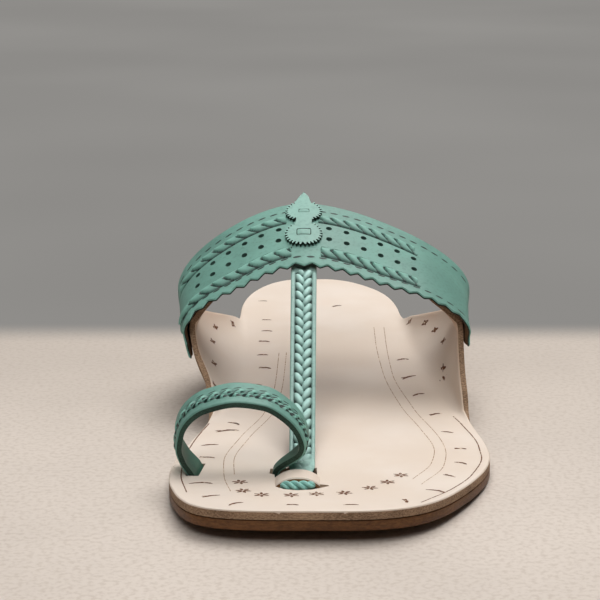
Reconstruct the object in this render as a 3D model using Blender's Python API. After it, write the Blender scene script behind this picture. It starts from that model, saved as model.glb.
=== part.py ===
"""Flat toe-loop leather sandal, left shoe, built the way it is sewn together.

The frame has the toe towards -Y, the heel towards +Y, the wearer's right (medial) side towards -X
and +Z up. The origin is the centre of the bottom of the sandal's box.
Every piece is a wall of leather laid on one form of the foot: the insole turns up at the waist into
two ears, the instep band lies over the ears, the T strap runs from the band to a bridge in the
insole, and the toe loop stands beside it. Sizes are in metres.
"""

import bmesh
import bpy
import numpy as np
from mathutils import Vector
from mathutils.geometry import delaunay_2d_cdt

# Clearance that curved neighbours keep
GAP = 0.0003

# Sole
SOLE_LENGTH = 0.250
BALL_WIDTH = 0.093
OUTSOLE_THICKNESS = 0.0030
INSOLE_THICKNESS = 0.0025
TOE_SPRING = 0.0035
HEEL_LIFT = 0.009
ARCH_RISE = 0.0022
SPRING_END = 0.28
LIFT_START = 0.38
LIFT_END = 0.72
ARCH_START = 0.43
ARCH_END = 0.64

# Ears and form of the foot
EAR_THICKNESS = 0.0021
EAR_HEIGHT = 0.031
INSTEP_HEIGHT = 0.0381
SHOULDER_HEIGHT = 0.0225

# Instep band
BAND_THICKNESS = 0.0016
BAND_WIDTH = 0.0368
BAND_LEAN = 0.951
BAND_START = 0.448
BAND_SWEEP = 0.0068
BAND_LOW_MEDIAL = 0.0146
BAND_LOW_LATERAL = 0.0178
BAND_SLACK = 0.0006
TOOTH_DEPTH = 0.0017
TEETH_MEDIAL = 10
TEETH_LATERAL = 12
COLUMNS_PER_TOOTH = 4
PLAIT_WIDTH = 0.0042
FRONT_PLAIT = 0.0078
REAR_PLAIT = 0.0266
PLAIT_HEIGHT = 0.0009
PLAIT_START = 5
PLAIT_LINKS_MEDIAL = 10
PLAIT_LINKS_LATERAL = 9
COLUMNS_PER_LINK = 3
HOLE_RADIUS = 0.0010
HOLE_SPACING = 0.0058
HOLE_START = 0.0079
HOLES_PER_ROW = 6

# T strap
STRAP_WIDTH_TOP = 0.0083
STRAP_WIDTH_TOE = 0.0073
STRAP_THICKNESS = 0.0013
BRAID_WIDTH = 0.0048
BRAID_HEIGHT = 0.0008
BRAID_PITCH = 0.0040
STRAP_TAIL = 0.0050
STRAP_MIDDLE = -0.0081
STRAP_SHIFT = -0.0009
STRAP_DROP = 0.0010

# Toe loop
LOOP_SPAN = 0.0367
LOOP_RISE = 0.0220
LOOP_THICKNESS = 0.0018
LOOP_CENTRE = -0.02625
LOOP_FRONT = 0.0374
LOOP_WIDTH = 0.0116
LOOP_FLARE = 0.06
LOOP_LEAN = 0.110
LOOP_SKEW = 0.0014

# Bridge of insole leather that holds the straps between the first two toes
BRIDGE_FRONT = 0.0282
BRIDGE_REAR = 0.0372
BRIDGE_MEDIAL = -0.0164
BRIDGE_LATERAL = -0.0036
BRIDGE_SEAT = 0.0016
BRIDGE_RISE = 0.0020
BRIDGE_THICKNESS = 0.0010

# Rosette
DISC_RADIUS = 0.0057
DISC_FRONT = 0.0153
DISC_STRETCH = 1.17
REAR_STRETCH = 1.22
DISC_REAR = 0.0295
DISC_TOOTH = 0.0006
DISC_TEETH = 28
NECK_HALF_WIDTH = 0.0025
POINT_HALF_WIDTH = 0.0026
POINT_TIP = 0.0425
ROSETTE_THICKNESS = 0.0009
ROSETTE_MIDDLE = -0.0081

# Twisted lace end in the front of the window
LACE_MEDIAL = -0.0149
LACE_LATERAL = -0.0052
LACE_FROM_TOE = 0.0250
LACE_BOW = 0.0010
LACE_LIFT = 0.0003
LACE_RADIUS = 0.00125

# Half widths of the sole as shares of half the ball width, toe first
OUTLINE = (
    ("along", "medial", "lateral"),
    (0.000, 0.319, 0.051),
    (0.006, 0.620, 0.290),
    (0.014, 0.730, 0.397),
    (0.028, 0.821, 0.507),
    (0.052, 0.894, 0.622),
    (0.092, 0.958, 0.748),
    (0.136, 0.995, 0.859),
    (0.184, 0.997, 0.951),
    (0.228, 0.970, 0.994),
    (0.280, 0.915, 0.988),
    (0.328, 0.855, 0.957),
    (0.372, 0.810, 0.928),
    (0.412, 0.781, 0.902),
    (0.480, 0.749, 0.844),
    (0.544, 0.721, 0.770),
    (0.600, 0.700, 0.703),
    (0.680, 0.674, 0.622),
    (0.760, 0.664, 0.578),
    (0.824, 0.658, 0.557),
    (0.880, 0.623, 0.510),
    (0.920, 0.568, 0.438),
    (0.952, 0.498, 0.344),
    (0.976, 0.419, 0.247),
    (0.992, 0.329, 0.146),
    (1.000, 0.181, 0.009),
)

# Side of the foot above the sole, along the sole: fold is the inset of the bend from the outline
# and bend its radius, in metres; flares are the half width gained above the outline, in shares of
# half the ball width; shoulder and crown are heights above the insole in shares of
# SHOULDER_HEIGHT and INSTEP_HEIGHT; middle is the crown's place across, in the same shares.
FORM = (
    ("along", "fold", "bend", "flare_medial", "flare_lateral", "shoulder", "crown", "middle"),
    (0.380, 0.0030, 0.0022, 0.030, -0.015, 0.88, 0.86, -0.175),
    (0.416, 0.0036, 0.0026, 0.050, -0.013, 0.90, 0.90, -0.175),
    (0.452, 0.0048, 0.0042, 0.142, 0.006, 0.99, 0.945, -0.175),
    (0.476, 0.0056, 0.0052, 0.172, 0.028, 1.00, 1.000, -0.175),
    (0.544, 0.0062, 0.0070, 0.246, 0.130, 1.04, 1.135, -0.174),
    (0.600, 0.0060, 0.0080, 0.290, 0.218, 1.04, 1.195, -0.173),
    (0.630, 0.0056, 0.0076, 0.275, 0.210, 1.02, 1.230, -0.172),
    (0.680, 0.0042, 0.0056, 0.150, 0.120, 0.92, 1.260, -0.172),
    (0.760, 0.0030, 0.0030, 0.050, 0.045, 0.80, 1.280, -0.172),
)

# Roundness of the arch above the shoulder: 1 is a straight slope and 2 a circle
ARCH = (
    ("along", "medial", "lateral"),
    (0.450, 1.42, 1.46),
    (0.610, 1.74, 1.655),
)

# Height of the ears' edge above the insole, in shares of EAR_HEIGHT
EARS = (
    ("along", "height"),
    (0.372, 0.000),
    (0.388, 0.020),
    (0.398, 0.080),
    (0.408, 0.185),
    (0.420, 0.290),
    (0.436, 0.415),
    (0.452, 0.550),
    (0.468, 0.720),
    (0.478, 0.880),
    (0.490, 0.970),
    (0.510, 1.000),
    (0.560, 0.960),
    (0.584, 0.740),
    (0.604, 0.530),
    (0.636, 0.370),
    (0.680, 0.200),
    (0.720, 0.085),
    (0.756, 0.000),
)

# Upper face of the T strap's middle: distance from the toe as a share of the sole's length, and
# height above the floor in metres
STRAP = (
    ("along", "height"),
    (0.120, 0.0060),
    (0.140, 0.0060),
    (0.152, 0.0062),
    (0.162, 0.0070),
    (0.174, 0.0081),
    (0.192, 0.0085),
    (0.216, 0.0095),
    (0.240, 0.0121),
    (0.282, 0.0190),
    (0.349, 0.0298),
    (0.474, 0.0472),
)

# Outer face of the toe loop: across from its middle in half spans, up in rises, and where its
# front and rear edges lie, in shares of LOOP_WIDTH
LOOP = (
    ("across", "up", "front", "rear"),
    (-0.760, -0.088, 0.00, 1.00),
    (-0.815, 0.000, 0.00, 1.00),
    (-0.934, 0.155, 0.00, 1.00),
    (-1.000, 0.345, 0.00, 1.00),
    (-0.960, 0.564, 0.00, 1.00),
    (-0.830, 0.755, 0.00, 1.00),
    (-0.560, 0.910, 0.00, 1.00),
    (-0.060, 1.000, 0.00, 1.00),
    (0.368, 0.955, 0.00, 1.00),
    (0.728, 0.782, 0.00, 1.00),
    (0.940, 0.564, 0.00, 1.00),
    (1.005, 0.382, 0.00, 0.98),
    (0.962, 0.264, 0.02, 0.86),
    (0.804, 0.150, 0.07, 0.68),
    (0.665, 0.068, 0.14, 0.60),
    (0.595, 0.000, 0.20, 0.56),
    (0.580, -0.075, 0.22, 0.56),
)

# Rows of points along the sole, as shares of its length
ROWS = np.array(
    [
        *(0.0, 0.002, 0.006, 0.014, 0.028, 0.052, 0.092, 0.136, 0.184, 0.228, 0.280, 0.330),
        *(0.364, 0.384, 0.398, 0.407, 0.414, 0.421, 0.430, 0.442, 0.454, 0.468, 0.480, 0.494),
        *(0.512, 0.536, 0.560, 0.580, 0.600, 0.622, 0.650, 0.684, 0.720, 0.760, 0.800, 0.840),
        *(0.880, 0.920, 0.952, 0.976, 0.992, 0.998, 1.0),
    ]
)
WING_SHARES = (0.0, 0.12, 0.26, 0.42, 0.60, 0.80, 1.0)
FLAT_COLUMNS = 3
STRAP_ROWS = np.array(
    [0.120, 0.136, 0.146, 0.154, 0.162, 0.170, *np.linspace(0.178, 0.474, 46)]
)

# Rows of the band: distance from the teeth's tips, place across a plait, and whether the lining
# has the row too
BAND_ROWS = (
    (0.0, None, True),
    (TOOTH_DEPTH + 0.0013, None, False),
    (FRONT_PLAIT - PLAIT_WIDTH / 2, None, False),
    (FRONT_PLAIT - PLAIT_WIDTH / 3, -0.8, True),
    (FRONT_PLAIT, 0.0, False),
    (FRONT_PLAIT + PLAIT_WIDTH / 3, 0.8, False),
    (FRONT_PLAIT + PLAIT_WIDTH / 2, None, False),
    ((FRONT_PLAIT + REAR_PLAIT) / 2, None, True),
    (REAR_PLAIT - PLAIT_WIDTH / 2, None, False),
    (REAR_PLAIT - PLAIT_WIDTH / 3, -0.8, False),
    (REAR_PLAIT, 0.0, True),
    (REAR_PLAIT + PLAIT_WIDTH / 3, 0.8, False),
    (REAR_PLAIT + PLAIT_WIDTH / 2, None, False),
    (BAND_WIDTH, None, True),
)
HOLE_ROWS = (0.0146, 0.0208)

# Window in the insole between the first two toes, and the loop's slot, as x and distance from toe
WINDOW = (
    (-0.0162, 0.0258),
    (-0.0136, 0.0232),
    (-0.0100, 0.0221),
    (-0.0060, 0.0230),
    (-0.0012, 0.0266),
    (-0.0018, 0.0276),
    (-0.0038, 0.0282),
    (-0.0041, 0.0370),
    (-0.0046, 0.0378),
    (-0.0046, 0.0450),
    (-0.0128, 0.0452),
    (-0.0134, 0.0444),
    (-0.0179, 0.0444),
    (-0.0181, 0.0394),
    (-0.0166, 0.0382),
    (-0.0164, 0.0282),
)
LOOP_SLOT = (
    (-0.0418, 0.0370),
    (-0.0381, 0.0370),
    (-0.0367, 0.0494),
    (-0.0405, 0.0494),
)

COLOURS = {
    "outsole": (0.22, 0.13, 0.075),
    "insole": (0.80, 0.68, 0.55),
    "instep_band": (0.24, 0.50, 0.43),
    "t_strap": (0.27, 0.54, 0.46),
    "toe_loop": (0.22, 0.48, 0.41),
    "rosette": (0.33, 0.60, 0.52),
}


def column(table, name):
    """One named column of a table as an array."""
    place = table[0].index(name)
    return np.array([row[place] for row in table[1:]], float)


def smooth_read(known_x, known_y, x, round_turns=False):
    """Cubic curve through the known points, read at x and held beyond both ends.

    It is monotone between neighbours, or follows parabolas where its turns are to be round.
    """
    step = np.diff(known_x)
    slope = np.diff(known_y) / step
    inner = slope[:-1] * slope[1:]
    safe = np.where(inner > 0, slope[:-1] + slope[1:], 1.0)
    middle = np.where(inner > 0, 2 * inner / safe, 0.0)
    if round_turns:
        middle = (slope[:-1] * step[1:] + slope[1:] * step[:-1]) / (step[:-1] + step[1:])
    tangent = np.concatenate([slope[:1], middle, slope[-1:]])
    x = np.clip(np.asarray(x, float), known_x[0], known_x[-1])
    place = np.clip(np.searchsorted(known_x, x, side="right") - 1, 0, len(step) - 1)
    share = (x - known_x[place]) / step[place]
    rest = 1 - share
    return (
        known_y[place] * (1 + 2 * share) * rest**2
        + known_y[place + 1] * (3 - 2 * share) * share**2
        + tangent[place] * step[place] * share * rest**2
        - tangent[place + 1] * step[place] * share**2 * rest
    )


def read(table, name, along):
    """A table's column read smoothly at shares of the sole's length."""
    return smooth_read(column(table, table[0][0]), column(table, name), along)


def ease(share):
    """Smooth step from 0 to 1."""
    share = np.clip(share, 0, 1)
    return share * share * (3 - 2 * share)


def place_y(along):
    """Y of a share of the sole's length, with the toe at -Y."""
    return (np.asarray(along, float) - 0.5) * SOLE_LENGTH


def under_height(along):
    """Height of the outsole's underside: toe spring, flat ball, arch and flat heel."""
    spring = TOE_SPRING * np.clip((SPRING_END - along) / SPRING_END, 0, 1) ** 2
    arch = np.clip((along - ARCH_START) / (ARCH_END - ARCH_START), 0, 1)
    return spring + ARCH_RISE * np.sin(np.pi * arch) ** 2


def deck_height(along):
    """Height of the outsole's upper face under the flat of the insole."""
    spring = TOE_SPRING * np.clip((SPRING_END - along) / SPRING_END, 0, 1) ** 2
    lift = HEEL_LIFT * ease((along - LIFT_START) / (LIFT_END - LIFT_START))
    return OUTSOLE_THICKNESS + spring + lift


def bed_height(along):
    """Height of the insole's upper face."""
    return deck_height(along) + GAP + INSOLE_THICKNESS


def half_width(along, side):
    """Half width of the sole on the medial (-1) or lateral (+1) side.

    It is read evenly in the angle whose cosine runs along the sole, which keeps the ends round.
    """
    known = np.arccos(1 - 2 * column(OUTLINE, "along"))
    angle = np.arccos(1 - 2 * np.asarray(along, float))
    width = smooth_read(known, column(OUTLINE, "medial" if side < 0 else "lateral"), angle, True)
    return width * BALL_WIDTH / 2


def fold_place(along, side):
    """Distance from the centre line at which the insole starts to turn up."""
    width = half_width(along, side)
    return width - np.minimum(read(FORM, "fold", along), 0.4 * width)


def half_section(along, side, offset=0.0):
    """Half of the foot's section at one place along the sole, from the fold up to the crown.

    A bend of small radius leaves the insole, a larger arc reaches the shoulder upright, and a
    superellipse closes over the instep. It returns distances from the centre line, heights above
    the insole and lengths along the curve of an offset copy.
    """
    name = "flare_medial" if side < 0 else "flare_lateral"
    fold = float(fold_place(along, side))
    wide = float(half_width(along, side) + read(FORM, name, along) * BALL_WIDTH / 2)
    shoulder = float(read(FORM, "shoulder", along)) * SHOULDER_HEIGHT
    crown = float(read(FORM, "crown", along)) * INSTEP_HEIGHT
    middle = float(read(FORM, "middle", along)) * BALL_WIDTH / 2 * side
    power = float(read(ARCH, "medial" if side < 0 else "lateral", along))
    bend = min(float(read(FORM, "bend", along)), 0.9 * (wide - fold))
    low, high = 0.0, 0.5 * np.pi - 1e-4
    for _ in range(50):
        turn = (low + high) / 2
        rest = (shoulder - bend * (1 - np.cos(turn))) / np.cos(turn)
        if bend * np.sin(turn) + rest * (1 - np.sin(turn)) > wide - fold:
            low = turn
        else:
            high = turn
    first = np.linspace(0, turn, 13)
    second = np.linspace(turn, np.pi / 2, 25)[1:]
    third = np.linspace(0, np.pi / 2, 61)[1:]
    start_x = fold + bend * np.sin(turn)
    start_z = bend * (1 - np.cos(turn))
    x = np.concatenate(
        [
            fold + bend * np.sin(first),
            start_x + rest * (np.sin(second) - np.sin(turn)),
            middle + (wide - middle) * np.cos(third) ** (2 / power),
        ]
    )
    z = np.concatenate(
        [
            bend * (1 - np.cos(first)),
            start_z + rest * (np.cos(turn) - np.cos(second)),
            shoulder + (crown - shoulder) * np.sin(third) ** (2 / power),
        ]
    )
    x[-1], z[-1] = middle, crown
    if offset:
        run_x, run_z = np.gradient(x), np.gradient(z)
        size = np.hypot(run_x, run_z)
        x, z = x + offset * run_z / size, z - offset * run_x / size
        x[-1], z[-1] = middle, crown + offset
    length = np.concatenate([[0], np.cumsum(np.hypot(np.diff(x), np.diff(z)))])
    return x, z, length

def edge_loop(grid):
    """Points of a grid's border in order, once round."""
    return np.concatenate([grid[0], grid[1:, -1], grid[-1, -2::-1], grid[-2:0:-1, 0]])


def band_faces(first, second):
    """Quads between two closed loops of point numbers."""
    after_first, after_second = np.roll(first, -1), np.roll(second, -1)
    return np.stack([first, after_first, after_second, second], axis=1)


def grid_faces(numbers):
    """Quads of a grid of point numbers."""
    return np.stack(
        [numbers[:-1, :-1], numbers[:-1, 1:], numbers[1:, 1:], numbers[1:, :-1]], axis=-1
    ).reshape(-1, 4)


def make_object(name, points, faces, colour):
    """A closed mesh object that faces outwards, with its own material."""
    mesh = bpy.data.meshes.new(name)
    mesh.from_pydata([tuple(p) for p in points], [], [tuple(int(i) for i in f) for f in faces])
    form = bmesh.new()
    form.from_mesh(mesh)
    bmesh.ops.remove_doubles(form, verts=form.verts, dist=2e-6)
    bmesh.ops.dissolve_degenerate(form, edges=form.edges, dist=2e-6)
    bmesh.ops.recalc_face_normals(form, faces=form.faces)
    form.to_mesh(mesh)
    form.free()
    material = bpy.data.materials.new(name)
    material.use_nodes = True
    shader = material.node_tree.nodes["Principled BSDF"]
    shader.inputs["Base Color"].default_value = (*COLOURS[colour], 1.0)
    shader.inputs["Roughness"].default_value = 0.6
    mesh.materials.append(material)
    made = bpy.data.objects.new(name, mesh)
    for polygon in mesh.polygons:
        polygon.use_smooth = False
    return made


def wall(name, upper, lower, colour, rings=()):
    """A closed wall between an upper and a lower grid of points, through any rings at its rim."""
    rows, columns = upper.shape[:2]
    count = rows * columns
    numbers = np.arange(count).reshape(rows, columns)
    points = [upper.reshape(-1, 3), lower.reshape(-1, 3)]
    faces = [grid_faces(numbers), grid_faces(numbers[:, ::-1] + count)]
    loops = [edge_loop(numbers)]
    base = 2 * count
    for ring in rings:
        points.append(ring)
        loops.append(base + np.arange(len(ring)))
        base += len(ring)
    loops.append(edge_loop(numbers) + count)
    for first, second in zip(loops[:-1], loops[1:]):
        faces.append(band_faces(second, first))
    return make_object(name, np.concatenate(points), np.concatenate(faces), colour)


def inset(points, distance):
    """Points of the sole moved in from its outline."""
    scale = np.array([1 - distance / (BALL_WIDTH / 2), 1 - distance / (SOLE_LENGTH / 2), 1.0])
    return points * scale


def plan_grid(shares):
    """Places across the sole at every row, from the medial edge to the lateral edge."""
    medial = -half_width(ROWS, -1)[:, None]
    lateral = half_width(ROWS, 1)[:, None]
    across = medial + (lateral - medial) * np.asarray(shares)[None, :]
    return across, np.broadcast_to(place_y(ROWS)[:, None], across.shape)


def make_outsole():
    """Outsole: one slab that thickens into a low heel, its edge slightly rounded."""
    across, y = plan_grid((0.0, 0.25, 0.5, 0.75, 1.0))
    top = deck_height(ROWS)[:, None] + 0 * across
    bottom = under_height(ROWS)[:, None] + 0 * across
    upper = inset(np.stack([across, y, top], axis=-1), 0.0004)
    lower = inset(np.stack([across, y, bottom], axis=-1), 0.0009)
    rim_top = edge_loop(np.stack([across, y, top], axis=-1))
    rim_low = edge_loop(np.stack([across, y, bottom], axis=-1))
    rings = [
        rim_top * (1 - share) + rim_low * share for share in (0.16, 0.72)
    ]
    return wall("outsole", upper, lower, "outsole", rings)


def wing_points(along, side, offset, shares):
    """Insole from its fold to its edge on one side, flat at the toe and heel and turned up between."""
    fold = float(fold_place(along, side))
    flat = float(half_width(along, side)) - fold
    curl = float(ease((along - 0.355) / 0.055) * ease((0.79 - along) / 0.09))
    x, z, length = half_section(along, side)
    height = max(float(read(EARS, "height", along)) * EAR_HEIGHT, 1e-6)
    reach = max(float(np.interp(height, z, length)), flat)
    outer_x, outer_z, _ = half_section(along, side, offset) if offset else (x, z, length)
    at = np.asarray(shares) * reach
    turned_x, turned_z = np.interp(at, length, outer_x), np.interp(at, length, outer_z)
    flat_x, flat_z = fold + np.asarray(shares) * flat, np.full(len(shares), -offset)
    return flat_x + curl * (turned_x - flat_x), flat_z + curl * (turned_z - flat_z)


def insole_face(offset, thin):
    """One face of the insole as a grid of points, at a depth that thins towards the ears' edge."""
    grid = []
    for along in ROWS:
        line = []
        turned = float(ease((along - 0.355) / 0.055) * ease((0.79 - along) / 0.09))
        deep = offset - thin * turned
        for side in (-1, 1):
            x, z = wing_points(float(along), side, offset, WING_SHARES)
            thin_x, thin_z = wing_points(float(along), side, deep, WING_SHARES)
            share = np.clip(np.asarray(WING_SHARES) * 2.5, 0, 1)
            x, z = x + share * (thin_x - x), z + share * (thin_z - z)
            line.append((side * x, z))
        flat = np.linspace(line[0][0][0], line[1][0][0], FLAT_COLUMNS + 2)[1:-1]
        x = np.concatenate([line[0][0][::-1], flat, line[1][0]])
        z = np.concatenate([line[0][1][::-1], np.full(FLAT_COLUMNS, -offset), line[1][1]])
        height = float(bed_height(along)) + z
        grid.append(np.stack([x, np.full(len(x), float(place_y(along))), height], axis=-1))
    return np.array(grid)


def prism(name, outline, bottom, top, colour="insole"):
    """Upright prism through the sole on an outline of x and distance from the toe."""
    count = len(outline)
    points = [(x, t - SOLE_LENGTH / 2, z) for z in (bottom, top) for x, t in outline]
    faces = [tuple(range(count)), tuple(range(2 * count - 1, count - 1, -1))]
    faces += [(i, (i + 1) % count, count + (i + 1) % count, count + i) for i in range(count)]
    made = bpy.data.objects.new(name, bpy.data.meshes.new(name))
    made.data.from_pydata(points, [], faces)
    form = bmesh.new()
    form.from_mesh(made.data)
    bmesh.ops.recalc_face_normals(form, faces=form.faces)
    form.to_mesh(made.data)
    form.free()
    return made


def keep_as_cutter(item, cutters):
    """A helper that is used by a Boolean and never rendered."""
    cutters.objects.link(item)
    item.hide_render = True
    item.display_type = "WIRE"
    return item


def combine(target, item, operation):
    """Exact Boolean of the target with a helper."""
    step = target.modifiers.new(f"{operation.title()} {item.name}", "BOOLEAN")
    step.operation = operation
    step.solver = "EXACT"
    step.object = item


def bridge_solid():
    """Arched strip of the insole's own leather, seated in the leather at both sides."""
    span = BRIDGE_LATERAL - BRIDGE_MEDIAL
    x = np.concatenate(
        [
            [BRIDGE_MEDIAL - BRIDGE_SEAT],
            np.linspace(BRIDGE_MEDIAL, BRIDGE_LATERAL, 11),
            [BRIDGE_LATERAL + BRIDGE_SEAT],
        ]
    )
    share = np.clip((x - BRIDGE_MEDIAL) / span, 0, 1)
    rise = (BRIDGE_RISE + 0.0004) * (1 - np.abs(2 * share - 1) ** 2.4)
    along = np.linspace(BRIDGE_FRONT, BRIDGE_REAR, 4) / SOLE_LENGTH
    top = bed_height(along)[:, None] - 0.0004 + rise[None, :]
    grid = np.stack(
        [
            np.broadcast_to(x[None, :], top.shape),
            np.broadcast_to(place_y(along)[:, None], top.shape),
            top,
        ],
        axis=-1,
    )
    return wall("bridge", grid, grid - np.array([0, 0, BRIDGE_THICKNESS]), "insole")


def make_insole(cutters):
    """Insole: flat under the foot, turned up into the ears, with a window, its bridge and a slot."""
    upper = insole_face(0.0, 0.0)
    lower = insole_face(INSOLE_THICKNESS, INSOLE_THICKNESS - EAR_THICKNESS)
    insole = wall("insole", upper, lower, "insole")
    window = keep_as_cutter(prism("window", WINDOW, 0.0005, 0.012), cutters)
    slot = keep_as_cutter(prism("loop_slot", LOOP_SLOT, 0.0005, 0.012), cutters)
    bridge = keep_as_cutter(bridge_solid(), cutters)
    combine(insole, window, "DIFFERENCE")
    combine(insole, slot, "DIFFERENCE")
    combine(insole, bridge, "UNION")
    return insole


def band_low(side):
    """Height above the insole at which the band ends."""
    return BAND_LOW_MEDIAL if side < 0 else BAND_LOW_LATERAL


def band_point(side, share, across, lift):
    """Point over the foot form: share runs from the band's lower end to its crown, across from its
    front edge to its rear edge in metres, and lift stands off the form."""
    sweep = BAND_SWEEP * ease((share - 0.18) / 0.82)
    along = BAND_START + (sweep + across * BAND_LEAN) / SOLE_LENGTH
    x, z, length = half_section(along, side, lift)
    start = np.interp(band_low(side), half_section(along, side)[1], length)
    at = start + share * (length[-1] - start)
    place = np.array([side * np.interp(at, length, x), place_y(along), np.interp(at, length, z)])
    place[2] += bed_height(along)
    return place


def band_lift(share, across):
    """Distance of the band's lining from the form: the ear, a gap and some slack at the front."""
    bulge = np.sin(np.pi * np.clip(share / 0.62, 0, 1)) ** 2
    front = 1 - ease(across / 0.030)
    return EAR_THICKNESS + GAP + BAND_SLACK * bulge * (0.4 + 1.6 * front)


def tooth(column_number):
    """Depth of the pinked edge at a column, from 0 at a tip to 1 in a valley."""
    phase = (column_number % COLUMNS_PER_TOOTH) / COLUMNS_PER_TOOTH
    return 1 - abs(2 * phase - 1)


def plait_relief(place, position):
    """Height of a plait at a column (in links) and a position across it from -1 to 1."""
    wave = (place + 0.5 * abs(position)) % 1.0
    lobe = 0.55 + 0.45 * np.sin(np.pi * wave)
    return PLAIT_HEIGHT * lobe * (0.72 if abs(position) < 0.2 else 1.0)


def make_band(cutters):
    """Instep band: one wall over both ears with a pinked front edge, two plaits and 24 holes."""
    medial = TEETH_MEDIAL * COLUMNS_PER_TOOTH
    lateral = TEETH_LATERAL * COLUMNS_PER_TOOTH
    outer, inner = [], []
    for row, (distance, position, inner_row) in enumerate(BAND_ROWS):
        outer_line, inner_line = [], []
        for number in range(-medial, lateral + 1):
            side = -1 if number < 0 else 1
            count = medial if number < 0 else lateral
            share = 1 - abs(number) / count
            across = distance
            if row == 0:
                across = TOOTH_DEPTH * tooth(number + medial)
            base = band_lift(share, across)
            relief = 0.0
            links = PLAIT_LINKS_MEDIAL if number < 0 else PLAIT_LINKS_LATERAL
            place = (abs(number) - PLAIT_START) / COLUMNS_PER_LINK
            if position is not None and 0 < place < links:
                relief = plait_relief(place, position)
            outer_line.append(band_point(side, share, across, base + BAND_THICKNESS + relief))
            if inner_row:
                inner_line.append(band_point(side, share, across, base))
        outer.append(outer_line)
        if inner_row:
            inner.append(inner_line)
    band = sheet("instep_band", np.array(outer), np.array(inner), "instep_band")
    for side in (-1, 1):
        for across in HOLE_ROWS:
            for number in range(HOLES_PER_ROW):
                name = f"hole_{'m' if side < 0 else 'l'}_{round(across * 1e4)}_{number}"
                arc = HOLE_START + number * HOLE_SPACING
                hole = band_hole(name, side, arc, across)
                combine(band, keep_as_cutter(hole, cutters), "DIFFERENCE")
    return band


def arc_share(side, arc, across):
    """Share along the band of a place at an arc length from the crown."""
    along = BAND_START + (BAND_SWEEP + across * BAND_LEAN) / SOLE_LENGTH
    _, z, length = half_section(along, side, EAR_THICKNESS)
    start = np.interp(band_low(side), z, length)
    return 1 - arc / (length[-1] - start)


def band_hole(name, side, arc, across):
    """Punch for one hole, square to the band."""
    share = arc_share(side, arc, across)
    low = Vector(band_point(side, share, across, 0.0))
    high = Vector(band_point(side, share, across, 0.010))
    bpy.ops.mesh.primitive_cylinder_add(vertices=8, radius=HOLE_RADIUS, depth=0.014)
    hole = bpy.context.active_object
    hole.name = name
    for collection in list(hole.users_collection):
        collection.objects.unlink(hole)
    turn = (high - low).to_track_quat("Z", "Y").to_matrix().to_4x4()
    turn.translation = (low + high) / 2
    hole.data.transform(turn)
    return hole


def sheet(name, outer, inner, colour):
    """A wall whose outer face has more rows than its inner face; the ends are closed by one face
    each."""
    rows, columns = outer.shape[:2]
    inner_rows = len(inner)
    numbers = np.arange(rows * columns).reshape(rows, columns)
    below = np.arange(inner_rows * columns).reshape(inner_rows, columns) + rows * columns
    faces = [tuple(f) for f in grid_faces(numbers)]
    faces += [tuple(f) for f in grid_faces(below[:, ::-1])]
    faces += [(numbers[0, i + 1], numbers[0, i], below[0, i], below[0, i + 1]) for i in range(columns - 1)]
    faces += [
        (numbers[-1, i], numbers[-1, i + 1], below[-1, i + 1], below[-1, i]) for i in range(columns - 1)
    ]
    faces.append(tuple(numbers[:, 0]) + tuple(below[::-1, 0]))
    faces.append(tuple(numbers[::-1, -1]) + tuple(below[:, -1]))
    points = np.concatenate([outer.reshape(-1, 3), inner.reshape(-1, 3)])
    return make_object(name, points, faces, colour)


def strap_path():
    """Middle of the T strap's upper face as distances from the toe, heights and slopes."""
    known = column(STRAP, "along")
    along = np.concatenate([STRAP_ROWS, np.linspace(known[-1], known[-1] + 0.048, 5)[1:]])
    height = smooth_read(known, column(STRAP, "height"), along)
    hidden = along > known[-1]
    crown = bed_height(along) + read(FORM, "crown", along) * INSTEP_HEIGHT + EAR_THICKNESS
    height = np.where(hidden, crown - STRAP_DROP, height)
    return along * SOLE_LENGTH, height


def make_t_strap():
    """T strap: flat margins and a raised two-column plait, from under the band to the bridge."""
    far, height = strap_path()
    slope = np.stack([np.gradient(far), np.gradient(height)], axis=-1)
    slope /= np.linalg.norm(slope, axis=1)[:, None]
    length = np.concatenate([[0], np.cumsum(np.hypot(np.diff(far), np.diff(height)))])
    share = (far - far[0]) / (far[-1] - far[0])
    narrow = STRAP_TAIL + (STRAP_WIDTH_TOE - STRAP_TAIL) * ease((far - 0.0385) / 0.004)
    half = (narrow + (STRAP_WIDTH_TOP - STRAP_WIDTH_TOE) * share) / 2
    plain = ease((far - 0.0430) / 0.004) * ease((0.1200 - far) / 0.002)
    upper, lower = [], []
    for number in range(len(far)):
        line = []
        edge = BRAID_WIDTH / STRAP_WIDTH_TOP
        for place in (-1.0, -edge, -0.55 * edge, 0.0, 0.55 * edge, edge, 1.0):
            wave = (length[number] / BRAID_PITCH + 0.45 * abs(place)) % 1.0
            lobe = 0.0 if abs(place) >= edge else (0.6 + 0.4 * np.sin(np.pi * wave))
            lobe *= 0.6 if place == 0 else 1.0
            rise = BRAID_HEIGHT * lobe * plain[number]
            x = STRAP_MIDDLE + STRAP_SHIFT * (1 - share[number]) + place * half[number]
            along, up = slope[number]
            line.append((x, far[number] - up * rise - SOLE_LENGTH / 2, height[number] + along * rise))
        upper.append(line)
        along, up = slope[number]
        under = [
            (
                STRAP_MIDDLE + STRAP_SHIFT * (1 - share[number]) + place * half[number],
                far[number] + up * STRAP_THICKNESS - SOLE_LENGTH / 2,
                height[number] - along * STRAP_THICKNESS,
            )
            for place in (-1.0, 0.0, 1.0)
        ]
        lower.append(under)
    outer = np.array(upper).transpose(1, 0, 2)
    inner = np.array(lower).transpose(1, 0, 2)
    return sheet("t_strap", outer, inner, "t_strap")


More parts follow.
